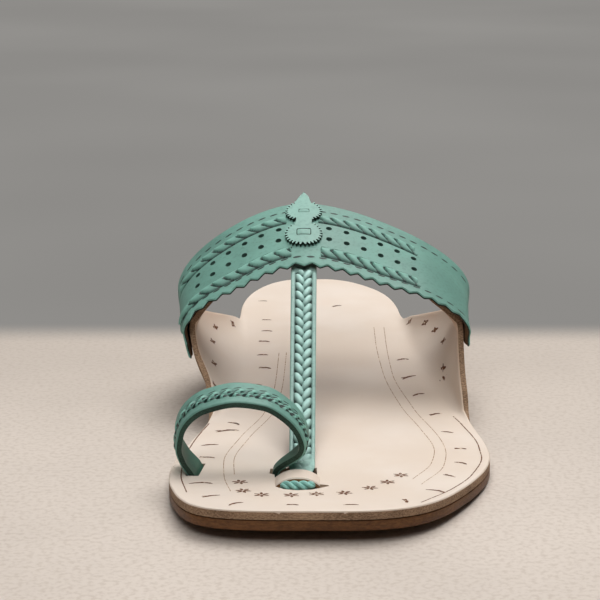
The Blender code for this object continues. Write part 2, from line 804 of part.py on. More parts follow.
def loop_outline(count):
    """Outer face of the toe loop: across, up, and its front and rear places, read evenly."""
    across, up = column(LOOP, "across"), column(LOOP, "up")
    run = np.concatenate([[0], np.cumsum(np.hypot(np.diff(across), np.diff(up)))])
    at = np.linspace(0, run[-1], count)
    return [smooth_read(run, column(LOOP, name), at) for name in LOOP[0]]


def make_toe_loop():
    """Toe loop: a wide wall that leans back, with a narrow leg into the window."""
    across, up, front, rear = loop_outline(44)
    base = float(bed_height(0.172))
    outer, inner = [], []
    for share in (0.0, 0.5, 1.0):
        lean = np.clip(up / 0.345, 0, 1) * share
        x = LOOP_CENTRE + across * LOOP_SPAN / 2 * (1 + LOOP_FLARE * lean)
        x += LOOP_SKEW * share * np.clip(1 - up / 0.5, 0, 1) * (across < 0)
        z = base + up * LOOP_RISE * (1 + LOOP_LEAN * lean)
        y = LOOP_FRONT + (front + (rear - front) * share) * LOOP_WIDTH - SOLE_LENGTH / 2
        run_x, run_z = np.gradient(x), np.gradient(z)
        size = np.hypot(run_x, run_z)
        outer.append(np.stack([x, y, z], axis=-1))
        step = LOOP_THICKNESS / size
        inner.append(np.stack([x + run_z * step, y, z - run_x * step], axis=-1))
    return wall("toe_loop", np.array(outer), np.array(inner), "toe_loop")


def disc_arc(middle, start, end, count, stretch=1.0):
    """Gear-cut arc of a disc, from one angle to another, clockwise from the rear."""
    angle = np.linspace(start, end, count)
    radius = DISC_RADIUS - DISC_TOOTH * (np.arange(count) % 2)
    return [(r * np.sin(a), middle + stretch * r * np.cos(a)) for r, a in zip(radius, angle)]


def make_rosette():
    """Rosette: two gear-cut discs joined by a neck, with a point over the band's rear edge."""
    neck = np.arcsin(NECK_HALF_WIDTH / DISC_RADIUS)
    base = np.arcsin(POINT_HALF_WIDTH / DISC_RADIUS)
    count = DISC_TEETH * 2 - 9
    outline = disc_arc(DISC_FRONT, neck, 2 * np.pi - neck, count, DISC_STRETCH)
    outline += disc_arc(DISC_REAR, np.pi + neck, 2 * np.pi - base, count // 2 - 2, REAR_STRETCH)
    outline.append((0.0, POINT_TIP))
    outline += disc_arc(DISC_REAR, base, np.pi - neck, count // 2 - 2, REAR_STRETCH)
    edges = [(i, (i + 1) % len(outline)) for i in range(len(outline))]
    inside = []
    for middle, stretch in ((DISC_FRONT, DISC_STRETCH), (DISC_REAR, REAR_STRETCH)):
        for radius in (0.0, 0.0022, 0.0042):
            number = max(1, round(radius * 2900))
            for a in np.linspace(0, 2 * np.pi, number, endpoint=False):
                inside.append((radius * np.sin(a), middle + stretch * radius * np.cos(a)))
    inside += [(0.0, 0.0378), (0.0, 0.0398), (0.0, (DISC_FRONT + DISC_REAR) / 2)]
    flat = [Vector(p) for p in outline + inside]
    made = delaunay_2d_cdt(flat, edges, [], 1, 1e-7)
    points, faces = made[0], made[2]
    layers = []
    for lift in (0.0, ROSETTE_THICKNESS):
        for x, across in points:
            along = BAND_START + (BAND_SWEEP + across * BAND_LEAN) / SOLE_LENGTH
            x += ROSETTE_MIDDLE - float(read(FORM, "middle", along)) * BALL_WIDTH / 2
            side = -1 if x < 0 else 1
            share = arc_share(side, abs(x), across)
            base_lift = band_lift(share, across) + BAND_THICKNESS + GAP
            layers.append(band_point(side, share, across, base_lift + lift))
    count = len(points)
    rim = {}
    for face in faces:
        for first, second in zip(face, face[1:] + face[:1]):
            rim[(first, second)] = rim.get((second, first), 0) + 1
            if (second, first) in rim:
                rim[(second, first)] = 0
                rim[(first, second)] = 0
    borders = [pair for pair, free in rim.items() if (pair[1], pair[0]) not in rim]
    solid = [tuple(face) for face in faces]
    solid += [tuple(i + count for i in reversed(face)) for face in faces]
    solid += [(b, a, a + count, b + count) for a, b in borders]
    return make_object("double_rosette", np.array(layers), solid, "rosette")


def make_lace_end():
    """Lace end: a short twisted cord in the front of the window."""
    points, faces, rings, sides = [], [], 13, 8
    for ring in range(rings):
        share = ring / (rings - 1)
        swell = np.sqrt(max(1 - (2 * share - 1) ** 4, 0.04))
        middle_x = LACE_MEDIAL + (LACE_LATERAL - LACE_MEDIAL) * share
        middle_t = LACE_FROM_TOE + LACE_BOW * (2 * share - 1) ** 2
        middle_z = float(bed_height(LACE_FROM_TOE / SOLE_LENGTH)) + LACE_LIFT
        for number in range(sides):
            angle = 2 * np.pi * number / sides
            ridge = 1 + 0.16 * np.cos(2 * angle - 5 * np.pi * share)
            points.append(
                (
                    middle_x,
                    middle_t + LACE_RADIUS * 1.3 * swell * ridge * np.cos(angle) - SOLE_LENGTH / 2,
                    middle_z + LACE_RADIUS * swell * ridge * np.sin(angle),
                )
            )
    for ring in range(rings - 1):
        for number in range(sides):
            after = (number + 1) % sides
            first, second = ring * sides, (ring + 1) * sides
            faces.append((first + number, first + after, second + after, second + number))
    faces.append(tuple(range(sides)))
    faces.append(tuple(range((rings - 1) * sides, rings * sides)))
    return make_object("lace_end", np.array(points), faces, "rosette")


def main():
    for item in list(bpy.data.objects):
        bpy.data.objects.remove(item)
    sandal = bpy.data.collections.new("toe_loop_sandal")
    cutters = bpy.data.collections.new("cutters")
    bpy.context.scene.collection.children.link(sandal)
    bpy.context.scene.collection.children.link(cutters)
    cutters.hide_render = True
    pieces = [
        make_outsole(),
        make_insole(cutters),
        make_band(cutters),
        make_t_strap(),
        make_toe_loop(),
        make_rosette(),
        make_lace_end(),
    ]
    reach = [vertex.co.x for piece in pieces for vertex in piece.data.vertices]
    middle = (min(reach) + max(reach)) / 2
    for piece in pieces:
        sandal.objects.link(piece)
        piece.location.x = -middle
    for cutter in cutters.objects:
        cutter.location.x = -middle


main()
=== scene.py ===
"""Looks of a flat toe-loop leather sandal, drawn on the frame's own form of the foot.

Every piece is a surface of two parameters: one runs along the piece and one across it. The form of
the foot is the frame's: a flat sole that turns up into ears and closes over the instep. Thin
things, such as lacing, plaits, stitches and stamped figures, are heights and colours on it.
"""

import math

import bmesh
import bpy
import numpy as np
from mathutils import Matrix, Vector
from mathutils.geometry import delaunay_2d_cdt


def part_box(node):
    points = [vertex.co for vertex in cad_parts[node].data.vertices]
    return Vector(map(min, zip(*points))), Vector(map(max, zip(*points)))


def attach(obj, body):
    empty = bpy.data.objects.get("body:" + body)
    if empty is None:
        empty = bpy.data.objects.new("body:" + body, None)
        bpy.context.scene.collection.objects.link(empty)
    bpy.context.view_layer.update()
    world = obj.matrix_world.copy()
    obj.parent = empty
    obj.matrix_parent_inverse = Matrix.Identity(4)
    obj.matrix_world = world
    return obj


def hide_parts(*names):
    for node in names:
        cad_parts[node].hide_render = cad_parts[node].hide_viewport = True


bl_info = {
    "name": "Toe-Loop Sandal",
    "version": (1, 0, 0),
    "blender": (4, 5, 0),
    "location": "3D Viewport > Sidebar > Sandal",
    "description": "Builds the leather, plaits, stamps and stage of a flat toe-loop sandal",
    "category": "Object",
}

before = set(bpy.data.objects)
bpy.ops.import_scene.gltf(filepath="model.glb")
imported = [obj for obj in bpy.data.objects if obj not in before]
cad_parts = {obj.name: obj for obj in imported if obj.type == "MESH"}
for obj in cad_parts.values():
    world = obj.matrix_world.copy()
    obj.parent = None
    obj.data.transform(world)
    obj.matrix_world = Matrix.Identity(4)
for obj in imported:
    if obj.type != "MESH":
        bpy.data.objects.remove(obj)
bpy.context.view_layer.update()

# Clearance that curved neighbours keep
GAP = 0.0003

# Sole
SOLE_LENGTH = 0.250
BALL_WIDTH = 0.093
OUTSOLE_THICKNESS = 0.0030
INSOLE_THICKNESS = 0.0025
TOE_SPRING = 0.0035
HEEL_LIFT = 0.009
ARCH_RISE = 0.0022
SPRING_END = 0.28
LIFT_START = 0.38
LIFT_END = 0.72
ARCH_START = 0.43
ARCH_END = 0.64

# Ears and form of the foot
EAR_THICKNESS = 0.0021
EAR_HEIGHT = 0.031
INSTEP_HEIGHT = 0.0381
SHOULDER_HEIGHT = 0.0225

# Instep band
BAND_THICKNESS = 0.0016
BAND_WIDTH = 0.0368
BAND_LEAN = 0.951
BAND_START = 0.448
BAND_SWEEP = 0.0068
BAND_LOW_MEDIAL = 0.0146
BAND_LOW_LATERAL = 0.0178
BAND_SLACK = 0.0006
TOOTH_DEPTH = 0.0017
TEETH_MEDIAL = 10
TEETH_LATERAL = 12
PLAIT_WIDTH = 0.0042
FRONT_PLAIT = 0.0078
REAR_PLAIT = 0.0266
PLAIT_HEIGHT = 0.0009
HOLE_RADIUS = 0.0010
HOLE_SPACING = 0.0058
HOLE_START = 0.0079
HOLES_PER_ROW = 6

# T strap
STRAP_WIDTH_TOP = 0.0083
STRAP_WIDTH_TOE = 0.0073
STRAP_THICKNESS = 0.0013
BRAID_WIDTH = 0.0048
BRAID_HEIGHT = 0.0008
BRAID_PITCH = 0.0040
STRAP_TAIL = 0.0050
STRAP_MIDDLE = -0.0081
STRAP_SHIFT = -0.0009
STRAP_DROP = 0.0010

# Toe loop
LOOP_SPAN = 0.0367
LOOP_RISE = 0.0220
LOOP_THICKNESS = 0.0018
LOOP_CENTRE = -0.02625
LOOP_FRONT = 0.0374
LOOP_WIDTH = 0.0116
LOOP_FLARE = 0.06
LOOP_LEAN = 0.110
LOOP_SKEW = 0.0014

# Bridge of insole leather that holds the straps between the first two toes
BRIDGE_FRONT = 0.0282
BRIDGE_REAR = 0.0372
BRIDGE_MEDIAL = -0.0164
BRIDGE_LATERAL = -0.0036
BRIDGE_SEAT = 0.0016
BRIDGE_RISE = 0.0020
BRIDGE_THICKNESS = 0.0010

# Rosette
DISC_RADIUS = 0.0057
DISC_FRONT = 0.0153
DISC_STRETCH = 1.17
REAR_STRETCH = 1.22
DISC_REAR = 0.0295
DISC_TOOTH = 0.0006
DISC_TEETH = 28
NECK_HALF_WIDTH = 0.0025
POINT_HALF_WIDTH = 0.0026
POINT_TIP = 0.0425
ROSETTE_THICKNESS = 0.0009
ROSETTE_MIDDLE = -0.0081

# Twisted lace end in the front of the window
LACE_MEDIAL = -0.0149
LACE_LATERAL = -0.0052
LACE_FROM_TOE = 0.0250
LACE_BOW = 0.0010
LACE_LIFT = 0.0003
LACE_RADIUS = 0.00125

# Half widths of the sole as shares of half the ball width, toe first
OUTLINE = (
    ("along", "medial", "lateral"),
    (0.000, 0.319, 0.051),
    (0.006, 0.620, 0.290),
    (0.014, 0.730, 0.397),
    (0.028, 0.821, 0.507),
    (0.052, 0.894, 0.622),
    (0.092, 0.958, 0.748),
    (0.136, 0.995, 0.859),
    (0.184, 0.997, 0.951),
    (0.228, 0.970, 0.994),
    (0.280, 0.915, 0.988),
    (0.328, 0.855, 0.957),
    (0.372, 0.810, 0.928),
    (0.412, 0.781, 0.902),
    (0.480, 0.749, 0.844),
    (0.544, 0.721, 0.770),
    (0.600, 0.700, 0.703),
    (0.680, 0.674, 0.622),
    (0.760, 0.664, 0.578),
    (0.824, 0.658, 0.557),
    (0.880, 0.623, 0.510),
    (0.920, 0.568, 0.438),
    (0.952, 0.498, 0.344),
    (0.976, 0.419, 0.247),
    (0.992, 0.329, 0.146),
    (1.000, 0.181, 0.009),
)

# Side of the foot above the sole, along the sole: fold is the inset of the bend from the outline
# and bend its radius, in metres; flares are the half width gained above the outline, in shares of
# half the ball width; shoulder and crown are heights above the insole in shares of
# SHOULDER_HEIGHT and INSTEP_HEIGHT; middle is the crown's place across, in the same shares.
FORM = (
    ("along", "fold", "bend", "flare_medial", "flare_lateral", "shoulder", "crown", "middle"),
    (0.380, 0.0030, 0.0022, 0.030, -0.015, 0.88, 0.86, -0.175),
    (0.416, 0.0036, 0.0026, 0.050, -0.013, 0.90, 0.90, -0.175),
    (0.452, 0.0048, 0.0042, 0.142, 0.006, 0.99, 0.945, -0.175),
    (0.476, 0.0056, 0.0052, 0.172, 0.028, 1.00, 1.000, -0.175),
    (0.544, 0.0062, 0.0070, 0.246, 0.130, 1.04, 1.135, -0.174),
    (0.600, 0.0060, 0.0080, 0.290, 0.218, 1.04, 1.195, -0.173),
    (0.630, 0.0056, 0.0076, 0.275, 0.210, 1.02, 1.230, -0.172),
    (0.680, 0.0042, 0.0056, 0.150, 0.120, 0.92, 1.260, -0.172),
    (0.760, 0.0030, 0.0030, 0.050, 0.045, 0.80, 1.280, -0.172),
)

# Roundness of the arch above the shoulder: 1 is a straight slope and 2 a circle
ARCH = (
    ("along", "medial", "lateral"),
    (0.450, 1.42, 1.46),
    (0.610, 1.74, 1.655),
)

# Height of the ears' edge above the insole, in shares of EAR_HEIGHT
EARS = (
    ("along", "height"),
    (0.372, 0.000),
    (0.388, 0.020),
    (0.398, 0.080),
    (0.408, 0.185),
    (0.420, 0.290),
    (0.436, 0.415),
    (0.452, 0.550),
    (0.468, 0.720),
    (0.478, 0.880),
    (0.490, 0.970),
    (0.510, 1.000),
    (0.560, 0.960),
    (0.584, 0.740),
    (0.604, 0.530),
    (0.636, 0.370),
    (0.680, 0.200),
    (0.720, 0.085),
    (0.756, 0.000),
)

# Upper face of the T strap's middle: distance from the toe as a share of the sole's length, and
# height above the floor in metres
STRAP = (
    ("along", "height"),
    (0.120, 0.0060),
    (0.140, 0.0060),
    (0.152, 0.0062),
    (0.162, 0.0070),
    (0.174, 0.0081),
    (0.192, 0.0085),
    (0.216, 0.0095),
    (0.240, 0.0121),
    (0.282, 0.0190),
    (0.349, 0.0298),
    (0.474, 0.0472),
)

# Outer face of the toe loop: across from its middle in half spans, up in rises, and where its
# front and rear edges lie, in shares of LOOP_WIDTH
LOOP = (
    ("across", "up", "front", "rear"),
    (-0.760, -0.088, 0.00, 1.00),
    (-0.815, 0.000, 0.00, 1.00),
    (-0.934, 0.155, 0.00, 1.00),
    (-1.000, 0.345, 0.00, 1.00),
    (-0.960, 0.564, 0.00, 1.00),
    (-0.830, 0.755, 0.00, 1.00),
    (-0.560, 0.910, 0.00, 1.00),
    (-0.060, 1.000, 0.00, 1.00),
    (0.368, 0.955, 0.00, 1.00),
    (0.728, 0.782, 0.00, 1.00),
    (0.940, 0.564, 0.00, 1.00),
    (1.005, 0.382, 0.00, 0.98),
    (0.962, 0.264, 0.02, 0.86),
    (0.804, 0.150, 0.07, 0.68),
    (0.665, 0.068, 0.14, 0.60),
    (0.595, 0.000, 0.20, 0.56),
    (0.580, -0.075, 0.22, 0.56),
)

# Rows of holes, as distances from the band's front
HOLE_ROWS = (0.0146, 0.0208)

# Window in the insole between the first two toes, and the loop's slot, as x and distance from toe
WINDOW = (
    (-0.0162, 0.0258),
    (-0.0136, 0.0232),
    (-0.0100, 0.0221),
    (-0.0060, 0.0230),
    (-0.0012, 0.0266),
    (-0.0018, 0.0276),
    (-0.0038, 0.0282),
    (-0.0041, 0.0370),
    (-0.0046, 0.0378),
    (-0.0046, 0.0450),
    (-0.0128, 0.0452),
    (-0.0134, 0.0444),
    (-0.0179, 0.0444),
    (-0.0181, 0.0394),
    (-0.0166, 0.0382),
    (-0.0164, 0.0282),
)
LOOP_SLOT = (
    (-0.0418, 0.0370),
    (-0.0381, 0.0370),
    (-0.0367, 0.0494),
    (-0.0405, 0.0494),
)

# Rounding of cut edges, height of the stamps and the angle past which an edge is drawn sharp
EDGE_ROUND = 0.0004
STAMP_LIFT = 0.00004
SHARP_DEGREES = 35

# Where the floor turns to the backdrop's grey, and over what length
FLOOR_EDGE = 0.099
FLOOR_BLUR = 0.016

# Half side of the floor, height of the backdrop and lamps: name, size, place and aim
STAGE_REACH = 2.0
BACKDROP_HEIGHT = 1.5
LAMPS = (
    ("Key", 0.9, (0.26, 0.22, 1.2), (0, 0, 0)),
    ("Fill", 0.8, (-0.15, -0.8, 1.15), (0, 0, 0.03)),
    ("Back", 0.8, (0.1, 0.8, 1.15), (0, 0, 0.03)),
)

# Camera and side of the square picture
CAMERA_FOCAL_PX = 1938.0
CAMERA_X = -0.00942
CAMERA_BACK = 0.6088
CAMERA_HEIGHT = 0.1828
CAMERA_PITCH = 13.51
PICTURE_SIDE_PX = 600
SENSOR_MM = 36.0

# Stars stamped round the toes, as x and distance from the toe in millimetres
STARS = (
    (-26.2, 30.6),
    (-25.1, 21.6),
    (-19.9, 17.5),
    (-11.8, 17.1),
    (-4.9, 18.3),
    (2.7, 19.4),
    (9.9, 24.6),
    (15.0, 30.6),
    (19.1, 37.7),
)

# Marks along the edge, as x, distance from the toe, turn in degrees and size
MARKS = (
    (-37.3, 29.5, 5, 1.2),
    (-33.6, 16.0, 25, 1.0),
    (-26.9, 7.9, 45, 0.9),
    (-11.5, 6.8, 0, 0.6),
    (4.2, 6.8, 0, 0.8),
    (18.9, 10.9, -75, 0.75),
    (27.8, 21.6, -30, 1.1),
    (32.8, 36.9, -40, 0.8),
    (37.0, 50.0, -30, 0.75),
    (38.0, 64.2, 0, 0.65),
    (35.4, 80.6, -20, 0.75),
    (33.0, 99.1, 35, 0.8),
    (28.5, 116.4, 32, 0.8),
    (26.4, 130.1, 33, 1.05),
    (24.9, 144.2, 15, 0.75),
    (-36.7, 55.5, 0, 0.85),
    (-36.3, 67.8, 10, 1.0),
    (-31.9, 81.9, 20, 1.3),
    (-29.9, 89.7, -30, 0.8),
    (-26.0, 106.9, 5, 0.8),
    (-23.8, 124.0, 0, 0.75),
    (-21.2, 137.4, 0, 0.75),
    (-22.0, 147.9, 0, 0.75),
    (-21.8, 159.8, 0, 0.7),
    (-21.1, 170.5, 0, 0.7),
    (-21.3, 185.0, 0, 0.65),
    (-23.3, 213.8, 0, 0.6),
    (4.0, 206.0, 40, 0.7),
)

# Marks on the ears: side, millimetres up from the fold, distance from the toe, turn and size
EAR_MARKS = (
    (1, 5.4, 173.3, 40, 0.9),
    (1, 10.8, 161.9, 30, 0.8),
    (1, 12.7, 153.0, 20, 0.8),
    (1, 13.4, 140.4, 0, 1.0),
    (1, 7.7, 127.9, 0, 1.1),
    (1, 5.6, 123.7, 30, 0.8),
    (-1, 13.8, 156.5, 0, 0.8),
    (-1, 7.0, 167.9, -30, 0.9),
    (-1, 13.8, 144.6, 0, 0.9),
    (-1, 11.5, 127.3, 0, 0.9),
    (-1, 8.4, 111.1, 0, 1.1),
)

# Scribed lines, as x and distance from the toe in millimetres
LINES = (
    ((16.5, 175), (16.5, 160.9), (18, 134.1), (22.3, 108.4), (27.6, 83.2), (30.3, 64.2),
     (28.6, 50.1), (22.1, 33.4)),
    ((20, 175), (20, 160.9), (21, 134.1), (26.2, 106.2), (33.6, 62.9), (32, 47.6), (24.3, 28.2)),
    ((-16.5, 150), (-17.5, 125), (-20.7, 100.3), (-27.5, 75), (-31.5, 52.6), (-30.8, 36),
     (-28.5, 21.2)),
    ((-14.0, 150), (-15.0, 125), (-18.0, 100.3), (-24.7, 75), (-28.6, 52.6), (-28, 38)),
)

# Grooves along the rim of the insole
RIM_LINES = (
    ((38.5, 97), (40.5, 88.4), (43.7, 66.6), (43.7, 57.8), (39.4, 38.6), (32.8, 24.1),
     (23.1, 9.4)),
    ((-37.0, 92), (-41.4, 70), (-43.3, 52), (-43.1, 38.5), (-40.5, 20)),
)

# Strokes of a star's arm, of a mark and of an ear's cross, in millimetres, and their widths
STAR_ARM = ([(0.35, 0), (1.2, 0.05), (2.3, 0)], 0.85)
MARK_BOW = ([(-2.6, -0.25), (-0.9, 0.3), (0.8, 0.35), (2.6, -0.1)], 0.95)
MARK_FORK = ([(0.3, 0.9), (1.5, 0.1), (2.9, -0.7)], 0.85)
MARK_TAIL = ([(-2.4, 0.9), (-1.2, 0.5), (-0.4, 0.4)], 0.8)
EAR_CROSS = ([(-1.9, -1.0), (0.0, 0.2), (1.9, 1.3)], 1.35)
EAR_BACK = ([(-1.3, 1.2), (0.1, 0.1), (1.5, -0.9)], 1.1)
LINE_WIDTH = 0.24
RIM_WIDTH = 0.36

# Points of the band across one tooth, and how far from its front the teeth are felt
TOOTH_COLUMNS = 16
TOOTH_FADE = 0.003

# The band's plaits: place across and where they start on both sides of the crown; and where they
# and their grooves end on both sides
PLAITS = ((FRONT_PLAIT, 0.0036, 0.0052), (REAR_PLAIT, 0.0055, 0.0045))
PLAIT_ENDS = (0.0455, 0.0375)
GROOVE_ENDS = (0.0470, 0.0385)
GROOVE_DEPTH = 0.0006
GROOVE_WIDTH = 0.00042

# Over what distance the band's lining thins towards its front, and how far punches reach
SKIVE_WIDTH = 0.004
PUNCH_REACH = (-0.001, 0.009)

# Where the turned-up part of the insole starts and ends along the sole, and over what lengths
CURL_START = 0.355
CURL_IN = 0.055
CURL_END = 0.79
CURL_OUT = 0.09

# Points across the flat of the insole, and how deep the bridge's seats sink into it
FLAT_COLUMNS = 36
BRIDGE_SINK = 0.0004

# Share of the sole's length that the strap runs under the band, and where its tail widens
STRAP_HIDDEN = 0.048
TAIL_END = 0.0385
TAIL_FADE = 0.004

# The strap's braid, as distances from the toe: first traces, start, run-in and end; its margin
# beside the groove, and its leaves
BRAID_ROUGH = 0.040
BRAID_START = 0.0440
BRAID_FADE = 0.012
BRAID_END = 0.1195
BRAID_MARGIN = 0.0003
BRAID_LEAF = {"reach": 0.0012, "long": 0.0028, "wide": 0.00118, "lean": 0.44}

# The loop's lacing: place across, half width, height and leaves; and the loop's foot on the sole
LACING_ROW = 0.0050
LACING_HALF = 0.0023
LACING_HEIGHT = 0.0007
LACING_PITCH = 0.0037
LACING_LEAF = {"reach": 0.0011, "long": 0.0021, "wide": 0.0009, "lean": 0.55}
LOOP_FOOT = 0.172

# Rows of stitches and of lacing slits, in centimetres along and across a strap. Each is drawn as
# a dark dash over a shallow dip: painted shade in the cut.
STITCH = {"Length": 0.24, "Width": 0.09, "Slant": 0.08, "Start": -5.0, "End": 6.0}
SLIT = {"Period": 0.37, "Length": 0.38, "Width": 0.085, "Slant": 0.25, "Start": 0.9, "End": 7.4}
SLIT_ROWS = (
    {**SLIT, "Place": 0.36},
    {**SLIT, "Place": 0.57, "Shift": 0.5},
    {**SLIT, "Place": 0.80, "Length": 0.24, "Width": 0.05},
)

# Laces through the rosette: place, half width and half depth, and the slot's line in millimetres
ROSETTE_LACES = (
    (DISC_FRONT, 0.0019, 0.0015, 0.3),
    (DISC_REAR - 0.0006, 0.0015, 0.0009, 0.12),
)
ROSETTE_LACE_RISE = 0.00028
ROSETTE_LACE_SINK = 0.0002

# The twisted lace: turn over its length, and its strands' place and size in lace radii
LACE_TURN = 2.6 * math.pi
STRAND_OFFSET = 0.62
STRAND_RADIUS = 0.66
LACE_SPREAD = 1.25


def column(table, name):
    """One named column of a table as an array."""
    place = table[0].index(name)
    return np.array([row[place] for row in table[1:]], float)


def smooth_read(known_x, known_y, x, round_turns=False):
    """Monotone cubic curve through the known points, read at x and held beyond both ends."""
    step = np.diff(known_x)
    slope = np.diff(known_y) / step
    inner = slope[:-1] * slope[1:]
    safe = np.where(inner > 0, slope[:-1] + slope[1:], 1.0)
    middle = np.where(inner > 0, 2 * inner / safe, 0.0)
    if round_turns:
        middle = (slope[:-1] * step[1:] + slope[1:] * step[:-1]) / (step[:-1] + step[1:])
    tangent = np.concatenate([slope[:1], middle, slope[-1:]])
    x = np.clip(np.asarray(x, float), known_x[0], known_x[-1])
    place = np.clip(np.searchsorted(known_x, x, side="right") - 1, 0, len(step) - 1)
    share = (x - known_x[place]) / step[place]
    rest = 1 - share
    return (
        known_y[place] * (1 + 2 * share) * rest**2
        + known_y[place + 1] * (3 - 2 * share) * share**2
        + tangent[place] * step[place] * share * rest**2
        - tangent[place + 1] * step[place] * share**2 * rest
    )


def read(table, name, along):
    """A table's column read smoothly at shares of the sole's length."""
    return smooth_read(column(table, table[0][0]), column(table, name), along)


def ease(share):
    """Smooth step from 0 to 1."""
    share = np.clip(share, 0, 1)
    return share * share * (3 - 2 * share)


def place_y(along):
    """Y of a share of the sole's length, with the toe at -Y."""
    return (np.asarray(along, float) - 0.5) * SOLE_LENGTH


def under_height(along):
    """Height of the outsole's underside: toe spring, flat ball, arch and flat heel."""
    spring = TOE_SPRING * np.clip((SPRING_END - along) / SPRING_END, 0, 1) ** 2
    arch = np.clip((along - ARCH_START) / (ARCH_END - ARCH_START), 0, 1)
    return spring + ARCH_RISE * np.sin(np.pi * arch) ** 2


def deck_height(along):
    """Height of the outsole's upper face under the flat of the insole."""
    spring = TOE_SPRING * np.clip((SPRING_END - along) / SPRING_END, 0, 1) ** 2
    lift = HEEL_LIFT * ease((along - LIFT_START) / (LIFT_END - LIFT_START))
    return OUTSOLE_THICKNESS + spring + lift


def bed_height(along):
    """Height of the insole's upper face."""
    return deck_height(along) + GAP + INSOLE_THICKNESS


def half_width(along, side):
    """Half width of the sole on the medial (-1) or lateral (+1) side.

    It is read evenly in the angle whose cosine runs along the sole, which keeps the ends round.
    """
    known = np.arccos(1 - 2 * column(OUTLINE, "along"))
    angle = np.arccos(1 - 2 * np.asarray(along, float))
    width = smooth_read(known, column(OUTLINE, "medial" if side < 0 else "lateral"), angle, True)
    return width * BALL_WIDTH / 2


def fold_place(along, side):
    """Distance from the centre line at which the insole starts to turn up."""
    width = half_width(along, side)
    return width - np.minimum(read(FORM, "fold", along), 0.4 * width)


def half_section(along, side):
    """Half of the foot's section at one place along the sole, from the fold up to the crown.

    A bend of small radius leaves the insole, a larger arc reaches the shoulder upright, and a
    superellipse closes over the instep. It returns distances from the centre line, heights above
    the insole and lengths along the curve.
    """
    name = "flare_medial" if side < 0 else "flare_lateral"
    fold = float(fold_place(along, side))
    wide = float(half_width(along, side) + read(FORM, name, along) * BALL_WIDTH / 2)
    shoulder = float(read(FORM, "shoulder", along)) * SHOULDER_HEIGHT
    crown = float(read(FORM, "crown", along)) * INSTEP_HEIGHT
    middle = float(read(FORM, "middle", along)) * BALL_WIDTH / 2 * side
    power = float(read(ARCH, "medial" if side < 0 else "lateral", along))
    bend = min(float(read(FORM, "bend", along)), 0.9 * (wide - fold))
    low, high = 0.0, 0.5 * np.pi - 1e-4
    for _ in range(50):
        turn = (low + high) / 2
        rest = (shoulder - bend * (1 - np.cos(turn))) / np.cos(turn)
        if bend * np.sin(turn) + rest * (1 - np.sin(turn)) > wide - fold:
            low = turn
        else:
            high = turn
    first = np.linspace(0, turn, 13)
    second = np.linspace(turn, np.pi / 2, 25)[1:]
    third = np.linspace(0, np.pi / 2, 61)[1:]
    start_x = fold + bend * np.sin(turn)
    start_z = bend * (1 - np.cos(turn))
    x = np.concatenate(
        [
            fold + bend * np.sin(first),
            start_x + rest * (np.sin(second) - np.sin(turn)),
            middle + (wide - middle) * np.cos(third) ** (2 / power),
        ]
    )
    z = np.concatenate(
        [
            bend * (1 - np.cos(first)),
            start_z + rest * (np.cos(turn) - np.cos(second)),
            shoulder + (crown - shoulder) * np.sin(third) ** (2 / power),
        ]
    )
    x[-1], z[-1] = middle, crown
    length = np.concatenate([[0], np.cumsum(np.hypot(np.diff(x), np.diff(z)))])
    return x, z, length


def linear(red, green, blue):
    """Linear colour of a display colour given from 0 to 255."""
    values = np.array([red, green, blue]) / 255
    low, high = values / 12.92, ((values + 0.055) / 1.055) ** 2.4
    return (*np.where(values <= 0.04045, low, high).tolist(), 1.0)


def fill(tree, node, inputs):
    """A node with its inputs linked where a socket is given and set otherwise."""
    for name, value in dict(inputs).items():
        if isinstance(value, bpy.types.NodeSocket):
            tree.links.new(value, node.inputs[name])
        else:
            node.inputs[name].default_value = value
    return node


def put(tree, kind, inputs=(), **settings):
    """A shader node with its settings, and its inputs linked or set."""
    node = tree.nodes.new(kind)
    for name, value in settings.items():
        setattr(node, name, value)
    return fill(tree, node, inputs)


def calc(tree, operation, *values, clamp=False):
    """Result of one math node."""
    node = put(tree, "ShaderNodeMath", enumerate(values), operation=operation, use_clamp=clamp)
    return node.outputs[0]


def span(tree, value, low, high, start=0.0, end=1.0):
    """Value mapped smoothly from low..high to start..end."""
    node = put(
        tree,
        "ShaderNodeMapRange",
        {"Value": value, "From Min": low, "From Max": high, "To Min": start, "To Max": end},
        interpolation_type="SMOOTHSTEP",
    )
    return node.outputs["Result"]


def blend(tree, factor, first, second):
    """Mix of two colours."""
    node = put(tree, "ShaderNodeMix", data_type="RGBA")
    place = {socket.name: number for number, socket in enumerate(node.inputs) if socket.enabled}
    fill(tree, node, {place["Factor"]: factor, place["A"]: first, place["B"]: second})
    return [socket for socket in node.outputs if socket.enabled][0]


def object_place(tree):
    """Position in the piece's own axes."""
    return put(tree, "ShaderNodeTexCoord").outputs["Object"]


def parts_of(tree, vector):
    """X, Y and Z of a vector."""
    return list(put(tree, "ShaderNodeSeparateXYZ", {"Vector": vector}).outputs)


def map_parts(tree, name):
    """Both values of a UV map."""
    return parts_of(tree, put(tree, "ShaderNodeUVMap", uv_map=name).outputs["UV"])[:2]


def noise(tree, place, scale, detail, roughness=0.5):
    """Value of a noise texture."""
    inputs = {"Vector": place, "Scale": scale, "Detail": detail, "Roughness": roughness}
    return put(tree, "ShaderNodeTexNoise", inputs).outputs["Fac"]


def bump(tree, height, strength, distance=1.0):
    """Normal of a surface with a fine relief."""
    inputs = {"Height": height, "Strength": strength, "Distance": distance}
    return put(tree, "ShaderNodeBump", inputs).outputs["Normal"]


def node_group(name, inputs, outputs):
    """An empty shader node group with named sockets."""
    group = bpy.data.node_groups.new(name, "ShaderNodeTree")
    for socket_name, kind in inputs:
        group.interface.new_socket(socket_name, in_out="INPUT", socket_type=kind)
    for socket_name, kind in outputs:
        group.interface.new_socket(socket_name, in_out="OUTPUT", socket_type=kind)
    return group, group.nodes.new("NodeGroupInput"), group.nodes.new("NodeGroupOutput")


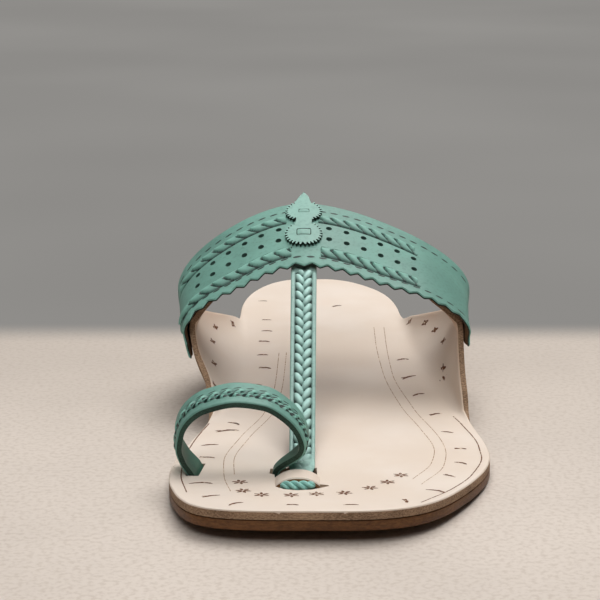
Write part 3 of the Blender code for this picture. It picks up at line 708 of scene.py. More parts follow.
def grain_group():
    """Grain of leather: a height from fine cells and creases, and a slow mottle."""
    group, given, made = node_group(
        "Leather Grain",
        [("Vector", "NodeSocketVector"), ("Scale", "NodeSocketFloat")],
        [("Height", "NodeSocketFloat"), ("Mottle", "NodeSocketFloat")],
    )
    vector, scale = given.outputs["Vector"], given.outputs["Scale"]
    cells = put(group, "ShaderNodeTexVoronoi", {"Vector": vector, "Scale": scale}, feature="SMOOTH_F1")
    fine = noise(group, vector, calc(group, "MULTIPLY", scale, 0.6), 5.0, 0.6)
    height = calc(group, "ADD", calc(group, "MULTIPLY", cells.outputs["Distance"], -0.7), fine)
    mottle = span(group, noise(group, vector, 38.0, 4.0), 0.3, 0.7)
    fill(group, made, {"Height": height, "Mottle": mottle})
    return group


def dash_group():
    """A row of dashes along U at one place across V, each with soft ends and a slant."""
    names = ("U", "V", "Place", "Period", "Length", "Width", "Slant", "Start", "End", "Shift")
    group, given, made = node_group(
        "Dash Row", [(name, "NodeSocketFloat") for name in names], [("Mask", "NodeSocketFloat")]
    )
    value = given.outputs
    step = calc(group, "ADD", calc(group, "DIVIDE", value["U"], value["Period"]), value["Shift"])
    local = calc(group, "MULTIPLY", calc(group, "SUBTRACT", calc(group, "FRACT", step), 0.5), value["Period"])
    across = calc(group, "SUBTRACT", value["V"], value["Place"])
    across = calc(group, "SUBTRACT", across, calc(group, "MULTIPLY", local, value["Slant"]))
    squares = [
        calc(group, "POWER", calc(group, "ABSOLUTE", calc(group, "DIVIDE", part, value[size])), 2.0)
        for part, size in ((local, "Length"), (across, "Width"))
    ]
    mask = span(group, calc(group, "ADD", *squares), 0.18, 0.34, 1.0, 0.0)
    after = calc(group, "GREATER_THAN", value["U"], value["Start"])
    before = calc(group, "LESS_THAN", value["U"], value["End"])
    inside = calc(group, "MULTIPLY", after, before)
    fill(group, made, {"Mask": calc(group, "MULTIPLY", mask, inside)})
    return group


def place_group(tree, name, make, inputs):
    """Outputs of a node group that is made once and shared by all materials."""
    group = bpy.data.node_groups.get(name) or make()
    return put(tree, "ShaderNodeGroup", inputs, node_tree=group).outputs


def grain_of(tree, scale):
    """Height and mottle of leather's grain."""
    return place_group(tree, "Leather Grain", grain_group, {"Vector": object_place(tree), "Scale": scale})


def new_material(name):
    """A material with a Principled shader, its tree and the shader node."""
    material = bpy.data.materials.new(name)
    material.use_nodes = True
    tree = material.node_tree
    return material, tree, tree.nodes["Principled BSDF"]


def tint(colour, factor):
    """A colour made lighter or darker, at most white."""
    return tuple(min(1.0, c * factor) for c in colour[:3]) + (1.0,)


def leather(name, colour, dark, grain=900.0, dashes=()):
    """Painted leather: mottled and grained, with rows of dark slits.

    The shade map's first value is painted shade that darkens grooves, and its second a painted
    highlight that lightens raised tops. The slits are dark dashes, painted shade in the cuts; they
    lie on the pattern map, which is in centimetres.
    """
    material, tree, shader = new_material(name)
    grained = grain_of(tree, grain)
    groove, painted_highlight = (calc(tree, "SUBTRACT", 1.0, part, clamp=True) for part in map_parts(tree, "shade"))
    base = blend(tree, grained["Mottle"], tint(colour, 0.776), tint(colour, 1.12))
    base = blend(tree, span(tree, grained["Height"], 0.15, 0.55, 0.0, 0.16), base, dark)
    # Painted highlight on raised tops towards a pale copy of the colour, then painted shade in grooves
    base = blend(tree, painted_highlight, base, tint(colour, 2.0))
    base = blend(tree, groove, base, dark)
    height = calc(tree, "MULTIPLY", grained["Height"], 0.00009)
    if dashes:
        along, across = map_parts(tree, "pattern")
        total = 0.0
        for row in dashes:
            mask = place_group(tree, "Dash Row", dash_group, {"U": along, "V": across, **row})["Mask"]
            total = calc(tree, "MAXIMUM", total, mask)
        # Painted shade in the slits and stitch holes, over a shallow dip
        base = blend(tree, calc(tree, "MULTIPLY", total, 0.95), base, dark)
        height = calc(tree, "SUBTRACT", height, calc(tree, "MULTIPLY", total, 0.0004))
    rough = span(tree, grained["Mottle"], 0.0, 1.0, 0.46, 0.58)
    normal = bump(tree, height, 0.35)
    fill(tree, shader, {"Base Color": base, "Roughness": rough, "Normal": normal, "Specular IOR Level": 0.35})
    return material


def fibre(name, colour, dark, scale, layer=0.0, roughness=0.8):
    """Cut edge of leather: matted fibres, darker in layers."""
    material, tree, shader = new_material(name)
    place = object_place(tree)
    flat = put(tree, "ShaderNodeMapping", {"Vector": place, "Scale": (1.0, 1.0, 3.0)})
    fine = noise(tree, flat.outputs["Vector"], scale, 6.0, 0.7)
    factor = calc(tree, "ADD", span(tree, fine, 0.35, 0.65, 0.0, 0.6), noise(tree, place, 90.0, 3.0))
    factor = calc(tree, "SUBTRACT", factor, 0.25 + layer, clamp=True)
    fill(
        tree,
        shader,
        {
            "Base Color": blend(tree, factor, colour, dark),
            "Roughness": roughness,
            "Normal": bump(tree, fine, 0.3, 0.0003),
            "Specular IOR Level": 0.25,
        },
    )
    return material


def add_object(name, points, faces, materials, indices, maps):
    """A mesh object from numpy arrays, with UV maps given at its points."""
    mesh = bpy.data.meshes.new(name)
    mesh.from_pydata(np.asarray(points).tolist(), [], [tuple(int(i) for i in f) for f in faces])
    for material in materials:
        mesh.materials.append(material)
    mesh.polygons.foreach_set("material_index", np.asarray(indices, np.int32))
    corners = np.empty(len(mesh.loops), np.int32)
    mesh.loops.foreach_get("vertex_index", corners)
    for map_name, values in maps.items():
        layer = mesh.uv_layers.new(name=map_name)
        layer.data.foreach_set("uv", np.asarray(values, np.float32)[corners].ravel())
    form = bmesh.new()
    form.from_mesh(mesh)
    bmesh.ops.recalc_face_normals(form, faces=form.faces)
    form.to_mesh(mesh)
    form.free()
    mesh.polygons.foreach_set("use_smooth", np.ones(len(mesh.polygons), bool))
    mesh.set_sharp_from_angle(angle=math.radians(SHARP_DEGREES))
    mesh.transform(SHIFT)
    return link_new(name, mesh)


def quads(numbers):
    """Quads of a grid of point numbers."""
    return np.stack(
        [numbers[:-1, :-1], numbers[:-1, 1:], numbers[1:, 1:], numbers[1:, :-1]], axis=-1
    ).reshape(-1, 4)


def loop_of(numbers):
    """Border of a grid of point numbers, once round."""
    return np.concatenate([numbers[0], numbers[1:, -1], numbers[-1, -2::-1], numbers[-2:0:-1, 0]])


def add_wall(name, outer, inner, materials, pattern=None, shade=None, rings=(), painted_highlight=0.0):
    """A closed wall between two grids: outer face, lining and cut edge have their own materials.

    Rings are extra rows of points on the cut edge. Shade is 1 on the face and 0 in a groove, where
    it is painted shade; the highlight value is 0 on the face and 1 on a raised top, where it is a
    painted highlight.
    """
    rows, columns = outer.shape[:2]
    count = rows * columns
    numbers = np.arange(count).reshape(rows, columns)
    points = [outer.reshape(-1, 3), inner.reshape(-1, 3)]
    loops = [loop_of(numbers)]
    base = 2 * count
    for ring in rings:
        points.append(ring)
        loops.append(base + np.arange(len(ring)))
        base += len(ring)
    loops.append(loop_of(numbers) + count)
    faces = [quads(numbers), quads(numbers[:, ::-1] + count)]
    for first, second in zip(loops[:-1], loops[1:]):
        faces.append(np.stack([second, np.roll(second, -1), np.roll(first, -1), first], axis=1))
    indices = np.concatenate([np.full(len(f), min(i, 2)) for i, f in enumerate(faces)])
    if pattern is None:
        pattern = np.zeros((rows, columns, 2))
    if shade is None:
        shade = np.ones((rows, columns))
    shade_map = np.stack([shade, 1 - painted_highlight * np.ones_like(shade)], axis=-1).reshape(-1, 2)
    extra = base - 2 * count
    maps = {
        "pattern": np.concatenate([pattern.reshape(-1, 2)] * 2 + [np.zeros((extra, 2))]),
        "shade": np.concatenate([shade_map, np.ones_like(shade_map), np.ones((extra, 2))]),
    }
    return add_object(name, np.concatenate(points), np.concatenate(faces), materials, indices, maps)


def keep(piece, slot_name, *stands_for):
    """A finished piece: it rides on the frame and hides the frame's parts that it stands for. The slot name
    is not used.
    """
    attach(piece, "root")
    if stands_for:
        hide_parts(*stands_for)


def cut(target, cutters):
    """Cuts closed helper meshes out of an object and removes them."""
    for item in cutters:
        step = target.modifiers.new("Cut", "BOOLEAN")
        step.operation = "DIFFERENCE"
        step.solver = "EXACT"
        step.object = item
    bpy.context.view_layer.update()
    graph = bpy.context.evaluated_depsgraph_get()
    fresh = bpy.data.meshes.new_from_object(target.evaluated_get(graph))
    target.modifiers.clear()
    old = target.data
    target.data = fresh
    bpy.data.meshes.remove(old)
    fresh.name = target.name
    for item in cutters:
        bpy.data.objects.remove(item)
    fresh.set_sharp_from_angle(angle=math.radians(SHARP_DEGREES))


class FootForm:
    """Side of the foot as a surface of place along the sole and share of the way to the crown."""

    def __init__(self, side):
        self.along = np.linspace(0.34, 0.82, 193)
        self.share = np.linspace(0, 1, 301)
        x_grid, z_grid, out_x, out_z, lengths = [], [], [], [], []
        for along in self.along:
            x, z, length = half_section(float(along), side)
            at = self.share * length[-1]
            x, z = np.interp(at, length, x), np.interp(at, length, z)
            run_x, run_z = np.gradient(x), np.gradient(z)
            size = np.hypot(run_x, run_z)
            nx, nz = run_z / size, -run_x / size
            nx[-1], nz[-1] = 0.0, 1.0
            x_grid.append(x)
            z_grid.append(z)
            out_x.append(nx)
            out_z.append(nz)
            lengths.append(length[-1])
        self.side = side
        self.fields = [np.array(f) for f in (x_grid, z_grid, out_x, out_z)]
        self.length = np.array(lengths)

    def total(self, along):
        """Length of the curve from the fold to the crown."""
        return np.interp(along, self.along, self.length)

    def share_at(self, along, height):
        """Share of the way at which the form is at a height above the insole."""
        row = np.clip(np.searchsorted(self.along, along), 0, len(self.along) - 1)
        return float(np.interp(height, self.fields[1][row], self.share))

    def point(self, along, share, lift):
        """Points that stand off the form."""
        along, share, lift = np.broadcast_arrays(along, share, lift)
        step = self.along[1] - self.along[0]
        at = np.clip((along - self.along[0]) / step, 0, len(self.along) - 1.001)
        up = np.clip(share * (len(self.share) - 1), 0, len(self.share) - 1.001)
        row, place = at.astype(int), up.astype(int)
        past_row, past = at - row, up - place
        found = []
        for field in self.fields:
            first = field[row, place] * (1 - past) + field[row, place + 1] * past
            second = field[row + 1, place] * (1 - past) + field[row + 1, place + 1] * past
            found.append(first * (1 - past_row) + second * past_row)
        x, z, nx, nz = found
        return np.stack(
            [self.side * (x + lift * nx), place_y(along), bed_height(along) + z + lift * nz], axis=-1
        )


FORMS = {side: FootForm(side) for side in (-1, 1)}


def frame_shift():
    """How far the frame has moved the sole across from its own centre line."""
    medial, lateral = (max(half_width(np.linspace(0, 1, 400), side)) for side in (-1, 1))
    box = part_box("outsole")
    return (box[0][0] + box[1][0]) / 2 - (lateral - medial) / 2


SHIFT_X = frame_shift()
SHIFT = Matrix.Translation((SHIFT_X, 0, 0))


def lobes(along, across, pitch, reach, long, wide, lean):
    """Height from 0 to 1 of a braid: two columns of plump leaves that lean together.

    A leaf is an ellipsoid whose long axis leans from the middle line outwards, and the next one
    starts a pitch further on; the second column is shifted by half a pitch.
    """
    height = np.zeros(np.broadcast(along, across).shape)
    for side, shift in ((-1, 0.0), (1, 0.5 * pitch)):
        run_s, run_w = math.cos(lean), side * math.sin(lean)
        near = np.round((along - shift) / pitch)
        for step in (-1, 0, 1):
            ds = along - shift - (near + step) * pitch
            dw = across - side * reach
            far = (ds * run_s + dw * run_w) ** 2 / long**2 + (dw * run_s - ds * run_w) ** 2 / wide**2
            height = np.maximum(height, np.sqrt(np.clip(1 - far, 0, 1)))
    return height


def leaf_width(run):
    """Width of a plait's leaf, from 0 at its tip to 1, as a power of the pitches from the tip."""
    return 1 - np.clip(1 - run / 0.95, 0, 1) ** 1.9


def chain(along, across, pitch, half):
    """Height and outline of a plait: pointed leaves that start on top of the one before.

    A leaf is 1.5 pitches long. Its half width grows from the tip as a power of the length, its
    height falls from the tip to the tail, and each tip covers the leaf that runs in under it.
    """
    shape = np.broadcast(along, across).shape
    height, line = np.zeros(shape), np.zeros(shape)
    first = np.floor(along / pitch)
    for step in (-1, 0, 1):
        run = (along - (first + step) * pitch) / pitch
        wide = half * leaf_width(run)
        middle = across - half * 0.22 * np.clip(1 - run, -0.3, 1)
        leaf = (run > 0) & (run < 1.5) & (np.abs(middle) < wide)
        dome = np.clip(1 - (middle / np.maximum(wide, 1e-6)) ** 2, 0, 1) ** 0.5
        top = dome * (1.0 - 0.42 * np.clip(run, 0, 1.5)) * np.clip(run / 0.06, 0, 1) ** 0.5
        rim = half * leaf_width(run + 0.14) + 0.2 * half
        around = (run > -0.14) & (run < 0.85) & (np.abs(middle) < rim) & ~leaf
        height = np.where(leaf, top, np.where(around, height * 0.35, height))
        line = np.where(leaf, 0.0, np.where(around, 1.0, line))
    return height, line


def edge_drop(distance):
    """How far a rounded edge falls below the face: the square of what is left to the full round."""
    return EDGE_ROUND * (1 - np.clip(distance / EDGE_ROUND, 0, 1)) ** 2


def sole_rows(count):
    """Places along the sole, closer at its round ends and at the window and the ears' corners."""
    ends = (1 - np.cos(np.linspace(0, np.pi, count))) / 2
    return np.unique(np.round(np.concatenate([ends, np.linspace(0.38, 0.47, 30), [0.0, 1.0]]), 5))


def build_outsole(looks):
    """Outsole: each row runs straight from the medial to the lateral half width of its place.

    The upper face lies at the deck's height and the lower one at the underside's. Rings blend from
    the upper outline to the lower one, and are drawn in near the bottom, which rounds the edge.
    """
    rows = sole_rows(190)
    shares = np.linspace(0, 1, 25)
    medial, lateral = -half_width(rows, -1)[:, None], half_width(rows, 1)[:, None]
    across = medial + (lateral - medial) * shares[None, :]
    y = np.broadcast_to(place_y(rows)[:, None], across.shape)
    top, low = (
        np.stack([across, y, np.broadcast_to(height(rows)[:, None], y.shape)], axis=-1)
        for height in (deck_height, under_height)
    )
    high_rim, low_rim = loop_of(top), loop_of(low)
    profile = ((0.03, 0.0001), (0.10, 0.0), (0.5, 0.0), (0.78, 0.0), (0.9, 0.0002), (0.97, 0.0005))
    rings = [inset(high_rim * (1 - down) + low_rim * down, back) for down, back in profile]
    edge = fibre("Outsole edge", looks.outsole, linear(84, 55, 33), 700, -0.1, 0.5)
    base = fibre("Outsole hide", linear(150, 120, 88), linear(96, 72, 50), 500, 0.0, 0.7)
    piece = add_wall(
        "sole_hide", inset(top, 0.0003), inset(low, 0.0009), (base, base, edge), rings=rings
    )
    keep(piece, "outsole_leather", "outsole")


def inset(points, distance):
    """Points of the sole moved in from its outline."""
    scale = np.array([1 - distance / (BALL_WIDTH / 2), 1 - distance / (SOLE_LENGTH / 2), 1.0])
    return points * scale


def curl_at(along):
    """How far the insole's wing has turned up, from 0 flat to 1."""
    return float(ease((along - CURL_START) / CURL_IN) * ease((CURL_END - along) / CURL_OUT))


def wing(along, side, offset, shares):
    """Insole from its fold to its edge on one side, as x and height over the flat.

    Where it has turned up, it follows the foot's section as far as the ear is high, less an offset
    along the normal; elsewhere it is flat, and the curl blends the two.
    """
    fold = float(fold_place(along, side))
    flat = float(half_width(along, side)) - fold
    curl = curl_at(along)
    x, z, length = half_section(along, side)
    height = max(float(read(EARS, "height", along)) * EAR_HEIGHT, 1e-6)
    reach = max(float(np.interp(height, z, length)), flat)
    run_x, run_z = np.gradient(x), np.gradient(z)
    size = np.hypot(run_x, run_z)
    at = shares * reach
    turned_x = np.interp(at, length, x) + offset * np.interp(at, length, run_z / size)
    turned_z = np.interp(at, length, z) - offset * np.interp(at, length, run_x / size)
    flat_x, flat_z = fold + shares * flat, -offset
    return flat_x + curl * (turned_x - flat_x), flat_z + curl * (turned_z - flat_z)


def insole_grid(rows, wing_shares, upper):
    """One face of the insole: two wings and a straight flat between them at each place.

    Its rim is rounded above, and the lower face comes nearer in the ears, which are thinner.
    """
    grid = []
    for along in rows:
        thin = (INSOLE_THICKNESS - EAR_THICKNESS) * curl_at(along)
        wings = []
        for side in (-1, 1):
            wide = max(float(half_width(along, side) - fold_place(along, side)), 0.001)
            offset = edge_drop((1 - wing_shares) * wide)
            if not upper:
                offset = INSOLE_THICKNESS - thin * np.clip(wing_shares * 2.5, 0, 1)
            x, z = wing(float(along), side, offset, wing_shares)
            wings.append(np.stack([side * x, z]))
        start, end = wings
        flat = np.linspace(start[:, 0], end[:, 0], FLAT_COLUMNS + 2, axis=1)[:, 1:-1]
        x, z = np.concatenate([start[:, ::-1], flat, end], axis=1)
        if upper and along in (rows[0], rows[-1]):
            z = z - EDGE_ROUND
        y = np.full(len(x), float(place_y(along)))
        grid.append(np.stack([x, y, float(bed_height(along)) + z], axis=-1))
    return np.array(grid)


def prism(name, outline, bottom, top):
    """Upright prism on an outline of x and distance from the toe."""
    count = len(outline)
    points = [(x, t - SOLE_LENGTH / 2, z) for z in (bottom, top) for x, t in outline]
    faces = [tuple(range(count)), tuple(range(2 * count - 1, count - 1, -1))]
    faces += [(i, (i + 1) % count, count + (i + 1) % count, count + i) for i in range(count)]
    maps = {"pattern": np.zeros((2 * count, 2)), "shade": np.full((2 * count, 2), 0.4)}
    return add_object(name, points, faces, (), np.zeros(len(faces)), maps)


def insole_material(looks):
    """Natural hide: cream, faintly mottled and veined, a little browner towards its edge."""
    material, tree, shader = new_material("Insole hide")
    place = object_place(tree)
    grained = grain_of(tree, 1300.0)
    warp = noise(tree, place, 14.0, 5.0)
    # Brown that grows with height up the ears, in patches: partly stain, partly painted shade under the band
    stain_and_shade = span(tree, parts_of(tree, place)[2], 0.0145, 0.030, 0.0, 0.75)
    stain_and_shade = calc(tree, "MULTIPLY", stain_and_shade, span(tree, warp, 0.4, 0.62, 0.3, 1.0))
    worn = calc(tree, "SUBTRACT", 1.0, map_parts(tree, "shade")[0], clamp=True)
    base = blend(tree, span(tree, warp, 0.32, 0.68), looks.insole, tint(looks.insole, 1.07))
    base = blend(tree, calc(tree, "MULTIPLY", grained["Mottle"], 0.35), base, linear(214, 192, 170))
    base = blend(tree, stain_and_shade, base, linear(180, 128, 84))
    base = blend(tree, worn, base, linear(196, 164, 128))
    normal = bump(tree, calc(tree, "MULTIPLY", grained["Height"], 0.00005), 0.25)
    fill(tree, shader, {"Base Color": base, "Roughness": 0.62, "Normal": normal, "Specular IOR Level": 0.3})
    return material


def build_insole(looks):
    """Insole: flat under the foot and turned up into ears, with the window, slot and bridge.

    Each row is two wings read on the foot's section and a straight flat between their folds.
    """
    rows = sole_rows(230)
    shares = np.unique(np.concatenate([np.linspace(0, 1, 22), [0.985, 0.995, 0.97]]))
    upper, lower = (insole_grid(rows, shares, face) for face in (True, False))
    edge = fibre("Insole edge", looks.insole_edge, linear(84, 62, 46), 1500)
    hide = insole_material(looks)
    border = np.minimum(np.arange(upper.shape[1]), np.arange(upper.shape[1])[::-1])
    shade = np.broadcast_to(1 - 0.5 * np.exp(-border / 2.0)[None, :], upper.shape[:2])
    insole = add_wall("insole_hide", upper, lower, (hide, edge, edge), shade=shade)
    holes = (("window_cut", WINDOW), ("slot_cut", LOOP_SLOT))
    cut(insole, [prism(name, outline, 0.0005, 0.012) for name, outline in holes])
    keep(insole, "insole_leather", "insole")
    build_bridge(hide)


def build_bridge(hide):
    """Bridge: rises over the window as a power of the distance from its middle, with level seats."""
    x = np.linspace(BRIDGE_MEDIAL - BRIDGE_SEAT, BRIDGE_LATERAL + BRIDGE_SEAT, 61)
    share = np.clip((x - BRIDGE_MEDIAL) / (BRIDGE_LATERAL - BRIDGE_MEDIAL), 0, 1)
    rise = (BRIDGE_RISE + BRIDGE_SINK) * (1 - np.abs(2 * share - 1) ** 2.4)
    along = np.linspace(BRIDGE_FRONT, BRIDGE_REAR, 31) / SOLE_LENGTH
    far = np.minimum(along - along[0], along[-1] - along) * SOLE_LENGTH
    top = bed_height(along)[:, None] - BRIDGE_SINK + rise[None, :] - edge_drop(far)[:, None]
    upper = np.stack(np.broadcast_arrays(x, place_y(along)[:, None], top), axis=-1)
    lower = upper - np.array([0, 0, BRIDGE_THICKNESS])
    raw = fibre("Window edge", linear(196, 152, 112), linear(140, 96, 62), 1500, -0.1)
    keep(add_wall("insole_bridge", upper, lower, (hide, raw, raw)), "insole_leather")


def bed_point(x, far, lift):
    """Point over the flat of the insole, from x and distance from the toe in millimetres."""
    along = np.asarray(far, float) / 1000 / SOLE_LENGTH
    return np.stack([np.asarray(x) / 1000, place_y(along), bed_height(along) + lift], axis=-1)


def ribbon(path, width, taper):
    """Left and right borders of a stroke along a path of x and distance from the toe.

    The stroke follows a smooth curve through the path, and its half width, where it tapers, swells
    as a power of a sine.
    """
    path = np.asarray(path, float)
    run = np.concatenate([[0], np.cumsum(np.hypot(*np.diff(path, axis=0).T))])
    at = np.linspace(0, run[-1], max(5, int(run[-1] / 1.2)))
    x, far = smooth_read(run, path[:, 0], at), smooth_read(run, path[:, 1], at)
    step = np.stack([np.gradient(x), np.gradient(far)], axis=-1)
    step /= np.maximum(np.linalg.norm(step, axis=1), 1e-9)[:, None]
    half = width / 2 * (np.sin(np.pi * np.linspace(0.06, 0.94, len(at))) ** 0.6 if taper else 1.0)
    side = np.stack([-step[:, 1], step[:, 0]], axis=-1) * np.reshape(half, (-1, 1))
    line = np.stack([x, far], axis=-1)
    return line + side, line - side


def stroke_mesh(name, strokes, material):
    """One mesh of many strokes, each laid on its own surface."""
    points, faces, base = [], [], 0
    for path, width, taper, lay in strokes:
        borders = ribbon(path, width, taper)
        count = len(borders[0])
        points += [lay(border[:, 0], border[:, 1]) for border in borders]
        for i in range(base, base + count - 1):
            faces.append((i, i + 1, count + i + 1, count + i))
        base += 2 * count
    points = np.concatenate(points)
    maps = {"shade": np.ones((len(points), 2))}
    return add_object(name, points, faces, (material,), np.zeros(len(faces)), maps)


def stamp_material(name, colour, cover):
    """Ink of a stamped figure: uneven, so that the hide shows through in places."""
    material, tree, shader = new_material(name)
    worn = span(tree, noise(tree, object_place(tree), 1100.0, 3.0), cover - 0.08, cover + 0.08)
    base = blend(tree, worn, colour, linear(222, 202, 180))
    fill(tree, shader, {"Base Color": base, "Roughness": 0.7, "Specular IOR Level": 0.2})
    return material


def turned(path, centre, degrees, size):
    """A figure's path scaled, turned and moved to its place."""
    turn = math.radians(degrees)
    path = np.asarray(path, float) * size
    x = path[:, 0] * math.cos(turn) - path[:, 1] * math.sin(turn)
    y = path[:, 0] * math.sin(turn) + path[:, 1] * math.cos(turn)
    return np.stack([x + centre[0], y + centre[1]], axis=-1)


def bed_lay(lift):
    """Maps strokes onto the flat of the insole."""
    return lambda x, far: bed_point(x, far, lift)


def ear_lay(side):
    """Maps strokes onto the inner face of an ear: x is millimetres up from the fold."""
    form = FORMS[side]

    def lay(up, far):
        along = np.asarray(far) / 1000 / SOLE_LENGTH
        share = np.asarray(up) / 1000 / form.total(along)
        return form.point(along, share, -STAMP_LIFT)

    return lay


def figure(parts, centre, degrees, size, lay):
    """Strokes of one stamped figure at its place."""
    return [(turned(path, centre, degrees, size), width, True, lay) for path, width in parts]


def build_stamps(looks):
    """Stamped stars and marks, and the scribed lines round the foot.

    A star is six arms of a ribbon, and a mark is a bow with a fork, a tail or both. Each ribbon is
    laid on the insole or on an ear a little off its face.
    """
    dark = stamp_material("Stamp ink", looks.ink, 0.62)
    faint = stamp_material("Scribed line", looks.line, 0.56)
    flat = bed_lay(STAMP_LIFT)
    strokes = []
    for x, far in STARS:
        for arm in range(6):
            strokes += figure([STAR_ARM], (x, far), 60 * arm + 30 + (x % 1.0) * 20, 1.0, flat)
    for number, (x, far, turn, size) in enumerate(MARKS):
        parts = [MARK_BOW] + [MARK_FORK] * (number % 3 != 1) + [MARK_TAIL] * (number % 2)
        strokes += figure(parts, (x, far), turn, size, flat)
    for side, up, far, turn, size in EAR_MARKS:
        strokes += figure([EAR_CROSS, EAR_BACK], (up, far), 90 + turn, size, ear_lay(side))
    keep(stroke_mesh("insole_stamps", strokes, dark), "insole_leather")
    low = bed_lay(STAMP_LIFT / 2)
    for name, paths, width, ink in (
        ("insole_lines", LINES, LINE_WIDTH, faint),
        ("insole_rim_lines", RIM_LINES, RIM_WIDTH, dark),
    ):
        lines = [(path, width, False, low) for path in paths]
        keep(stroke_mesh(name, lines, ink), "insole_leather")


def band_low(side):
    """Height above the insole at which the band ends."""
    return BAND_LOW_MEDIAL if side < 0 else BAND_LOW_LATERAL


def band_surface(side, share, across, lift):
    """Points of the band: share runs from its lower end to the crown and across from its front."""
    form = FORMS[side]
    sweep = BAND_SWEEP * ease((share - 0.18) / 0.82)
    along = BAND_START + (sweep + across * BAND_LEAN) / SOLE_LENGTH
    heights = form.fields[1]
    lows = [np.interp(band_low(side), row, form.share) for row in heights]
    start = np.interp(along, form.along, lows)
    return form.point(along, start + share * (1 - start), lift)


def band_lift(share, across):
    """Distance of the band's lining from the form: the ear and a clearance, and a sine bulge."""
    bulge = np.sin(np.pi * np.clip(share / 0.62, 0, 1)) ** 2
    front = 1 - ease(across / 0.030)
    return EAR_THICKNESS + GAP + BAND_SLACK * bulge * (0.4 + 1.6 * front)


def band_arc(side, across):
    """Length of the band from its lower end to the crown."""
    form = FORMS[side]
    along = BAND_START + (BAND_SWEEP + across * BAND_LEAN) / SOLE_LENGTH
    start = form.share_at(along, band_low(side))
    return float(form.total(along)) * (1 - start) + EAR_THICKNESS


def green_set(name, looks, colour, dashes=(), rim=(46, 58, 48)):
    """Face, lining and cut edge of the painted leather."""
    face = leather(f"{name} face", colour, looks.groove, dashes=dashes)
    lining = fibre(f"{name} lining", linear(112, 84, 58), linear(70, 50, 34), 1200)
    edge = fibre(f"{name} edge", linear(*rim), linear(*(c * 0.5 for c in rim)), 1600, -0.1, 0.6)
    return face, lining, edge


def band_rows():
    """Distances from the band's front at which it has points, closer at its edges and plaits."""
    fine = np.arange(-0.0024, 0.00241, 0.0002)
    rows = np.concatenate(
        [
            [0, 0.00015, 0.0004, 0.0008, 0.0014, 0.0021, 0.003],
            np.arange(0.0037, BAND_WIDTH - 0.0006, 0.0007),
            FRONT_PLAIT + fine,
            REAR_PLAIT + fine,
            [BAND_WIDTH - 0.0004, BAND_WIDTH - 0.00015, BAND_WIDTH],
        ]
    )
    rows = np.unique(np.round(rows, 6))
    return rows[np.concatenate([[True], np.diff(rows) > 0.00006])]


def plait_run(signed, start, end, ends):
    """Where a plait or its groove runs: on both sides of a gap at the crown."""
    return ((signed < -start) & (signed > -ends[0])) | ((signed > end) & (signed < ends[1]))


def plait_relief(signed, across, relief_sizes):
    """Relief, painted shade and painted highlight of the band's plaits, each with a groove along its front.
    """
    relief, shade, painted_highlight = np.zeros_like(across), np.ones_like(across), np.zeros_like(across)
    half = PLAIT_WIDTH / 2
    for place, start, end in PLAITS:
        w = across - place
        leaf, line = chain(signed, w, relief_sizes.plait_pitch, half)
        inside = (np.abs(w) < half + 0.0001) & plait_run(signed, start, end, PLAIT_ENDS)
        relief += np.where(inside, relief_sizes.plait_height * (1.35 * leaf - 0.3), 0)
        # Painted highlight on the leaves' tops, and painted shade where the leaves run low and on the outline
        # round each tip
        painted_highlight = np.where(inside, 0.4 * np.clip(2 * leaf - 0.9, 0, 1), painted_highlight)
        shade = np.where(inside, np.clip(np.minimum(0.3 + 2.2 * leaf, 1 - 0.95 * line), 0, 1), shade)
        groove = np.exp(-(((w + half + 0.0002) / GROOVE_WIDTH) ** 4))
        near = plait_run(signed, start, end, GROOVE_ENDS)
        relief -= np.where(near, GROOVE_DEPTH * groove, 0)
        # Painted shade in the groove along the plait's front
        shade = np.minimum(shade, np.where(near, 1 - groove, 1))
    return relief, shade, painted_highlight


def build_band(looks, relief_sizes):
    """Instep band: pinked front edge, two plaits of leaves, rows of stitches and punched holes.

    A column of points is a share of the way from the band's lower end to the crown, and a row is a
    distance from its front, to which the teeth add a wave that fades out. The lining stands off the
    foot's side by the band's lift, and the face by its thickness and relief more.
    """
    distance = band_rows()
    medial, lateral = TEETH_MEDIAL * TOOTH_COLUMNS, TEETH_LATERAL * TOOTH_COLUMNS
    number = np.arange(-medial, lateral + 1)
    side = np.where(number < 0, -1, 1)
    share = 1 - np.abs(number) / np.where(number < 0, medial, lateral)
    phase = (number + medial) % TOOTH_COLUMNS / TOOTH_COLUMNS
    tooth = 1 - np.abs(2 * phase - 1)
    tooth = 0.5 - 0.5 * np.cos(np.pi * tooth) * 0.35 - 0.65 * (0.5 - tooth)
    fade = np.clip(1 - distance / TOOTH_FADE, 0, 1)
    across = distance[:, None] + TOOTH_DEPTH * tooth[None, :] * fade[:, None]
    signed = np.zeros_like(across)
    for which in (-1, 1):
        arcs = np.array([band_arc(which, d) for d in distance])
        at = side == which
        signed[:, at] = which * (1 - share[at])[None, :] * arcs[:, None]
    relief, shade, painted_highlight = plait_relief(signed, across, relief_sizes)
    border = np.minimum(np.minimum(distance, BAND_WIDTH - distance)[:, None], share * 0.05)
    base = band_lift(share[None, :], across)
    high = base + BAND_THICKNESS + (relief - edge_drop(border))
    low = base + 0.5 * BAND_THICKNESS * ease(1 - distance / SKIVE_WIDTH)[:, None]
    outer, inner = np.zeros((*across.shape, 3)), np.zeros((*across.shape, 3))
    for which in (-1, 1):
        at = side == which
        outer[:, at] = band_surface(which, share[at], across[:, at], high[:, at])
        inner[:, at] = band_surface(which, share[at], across[:, at], low[:, at])
    # Stitch rows: dark dashes, painted shade in the stitch holes
    rows = [
        {**STITCH, "Period": relief_sizes.stitch_pitch * 100, "Place": place * 100}
        for place in (relief_sizes.stitch_front, relief_sizes.stitch_rear)
    ]
    looks_of_band = green_set("Band", looks, looks.strap, rows)
    pattern = np.stack([signed * 100, across * 100], axis=-1)
    band = add_wall("pinked_band", outer, inner, looks_of_band, pattern, shade, painted_highlight=painted_highlight)
    cut(band, [punches()])
    keep(band, "band_leather", "instep_band")


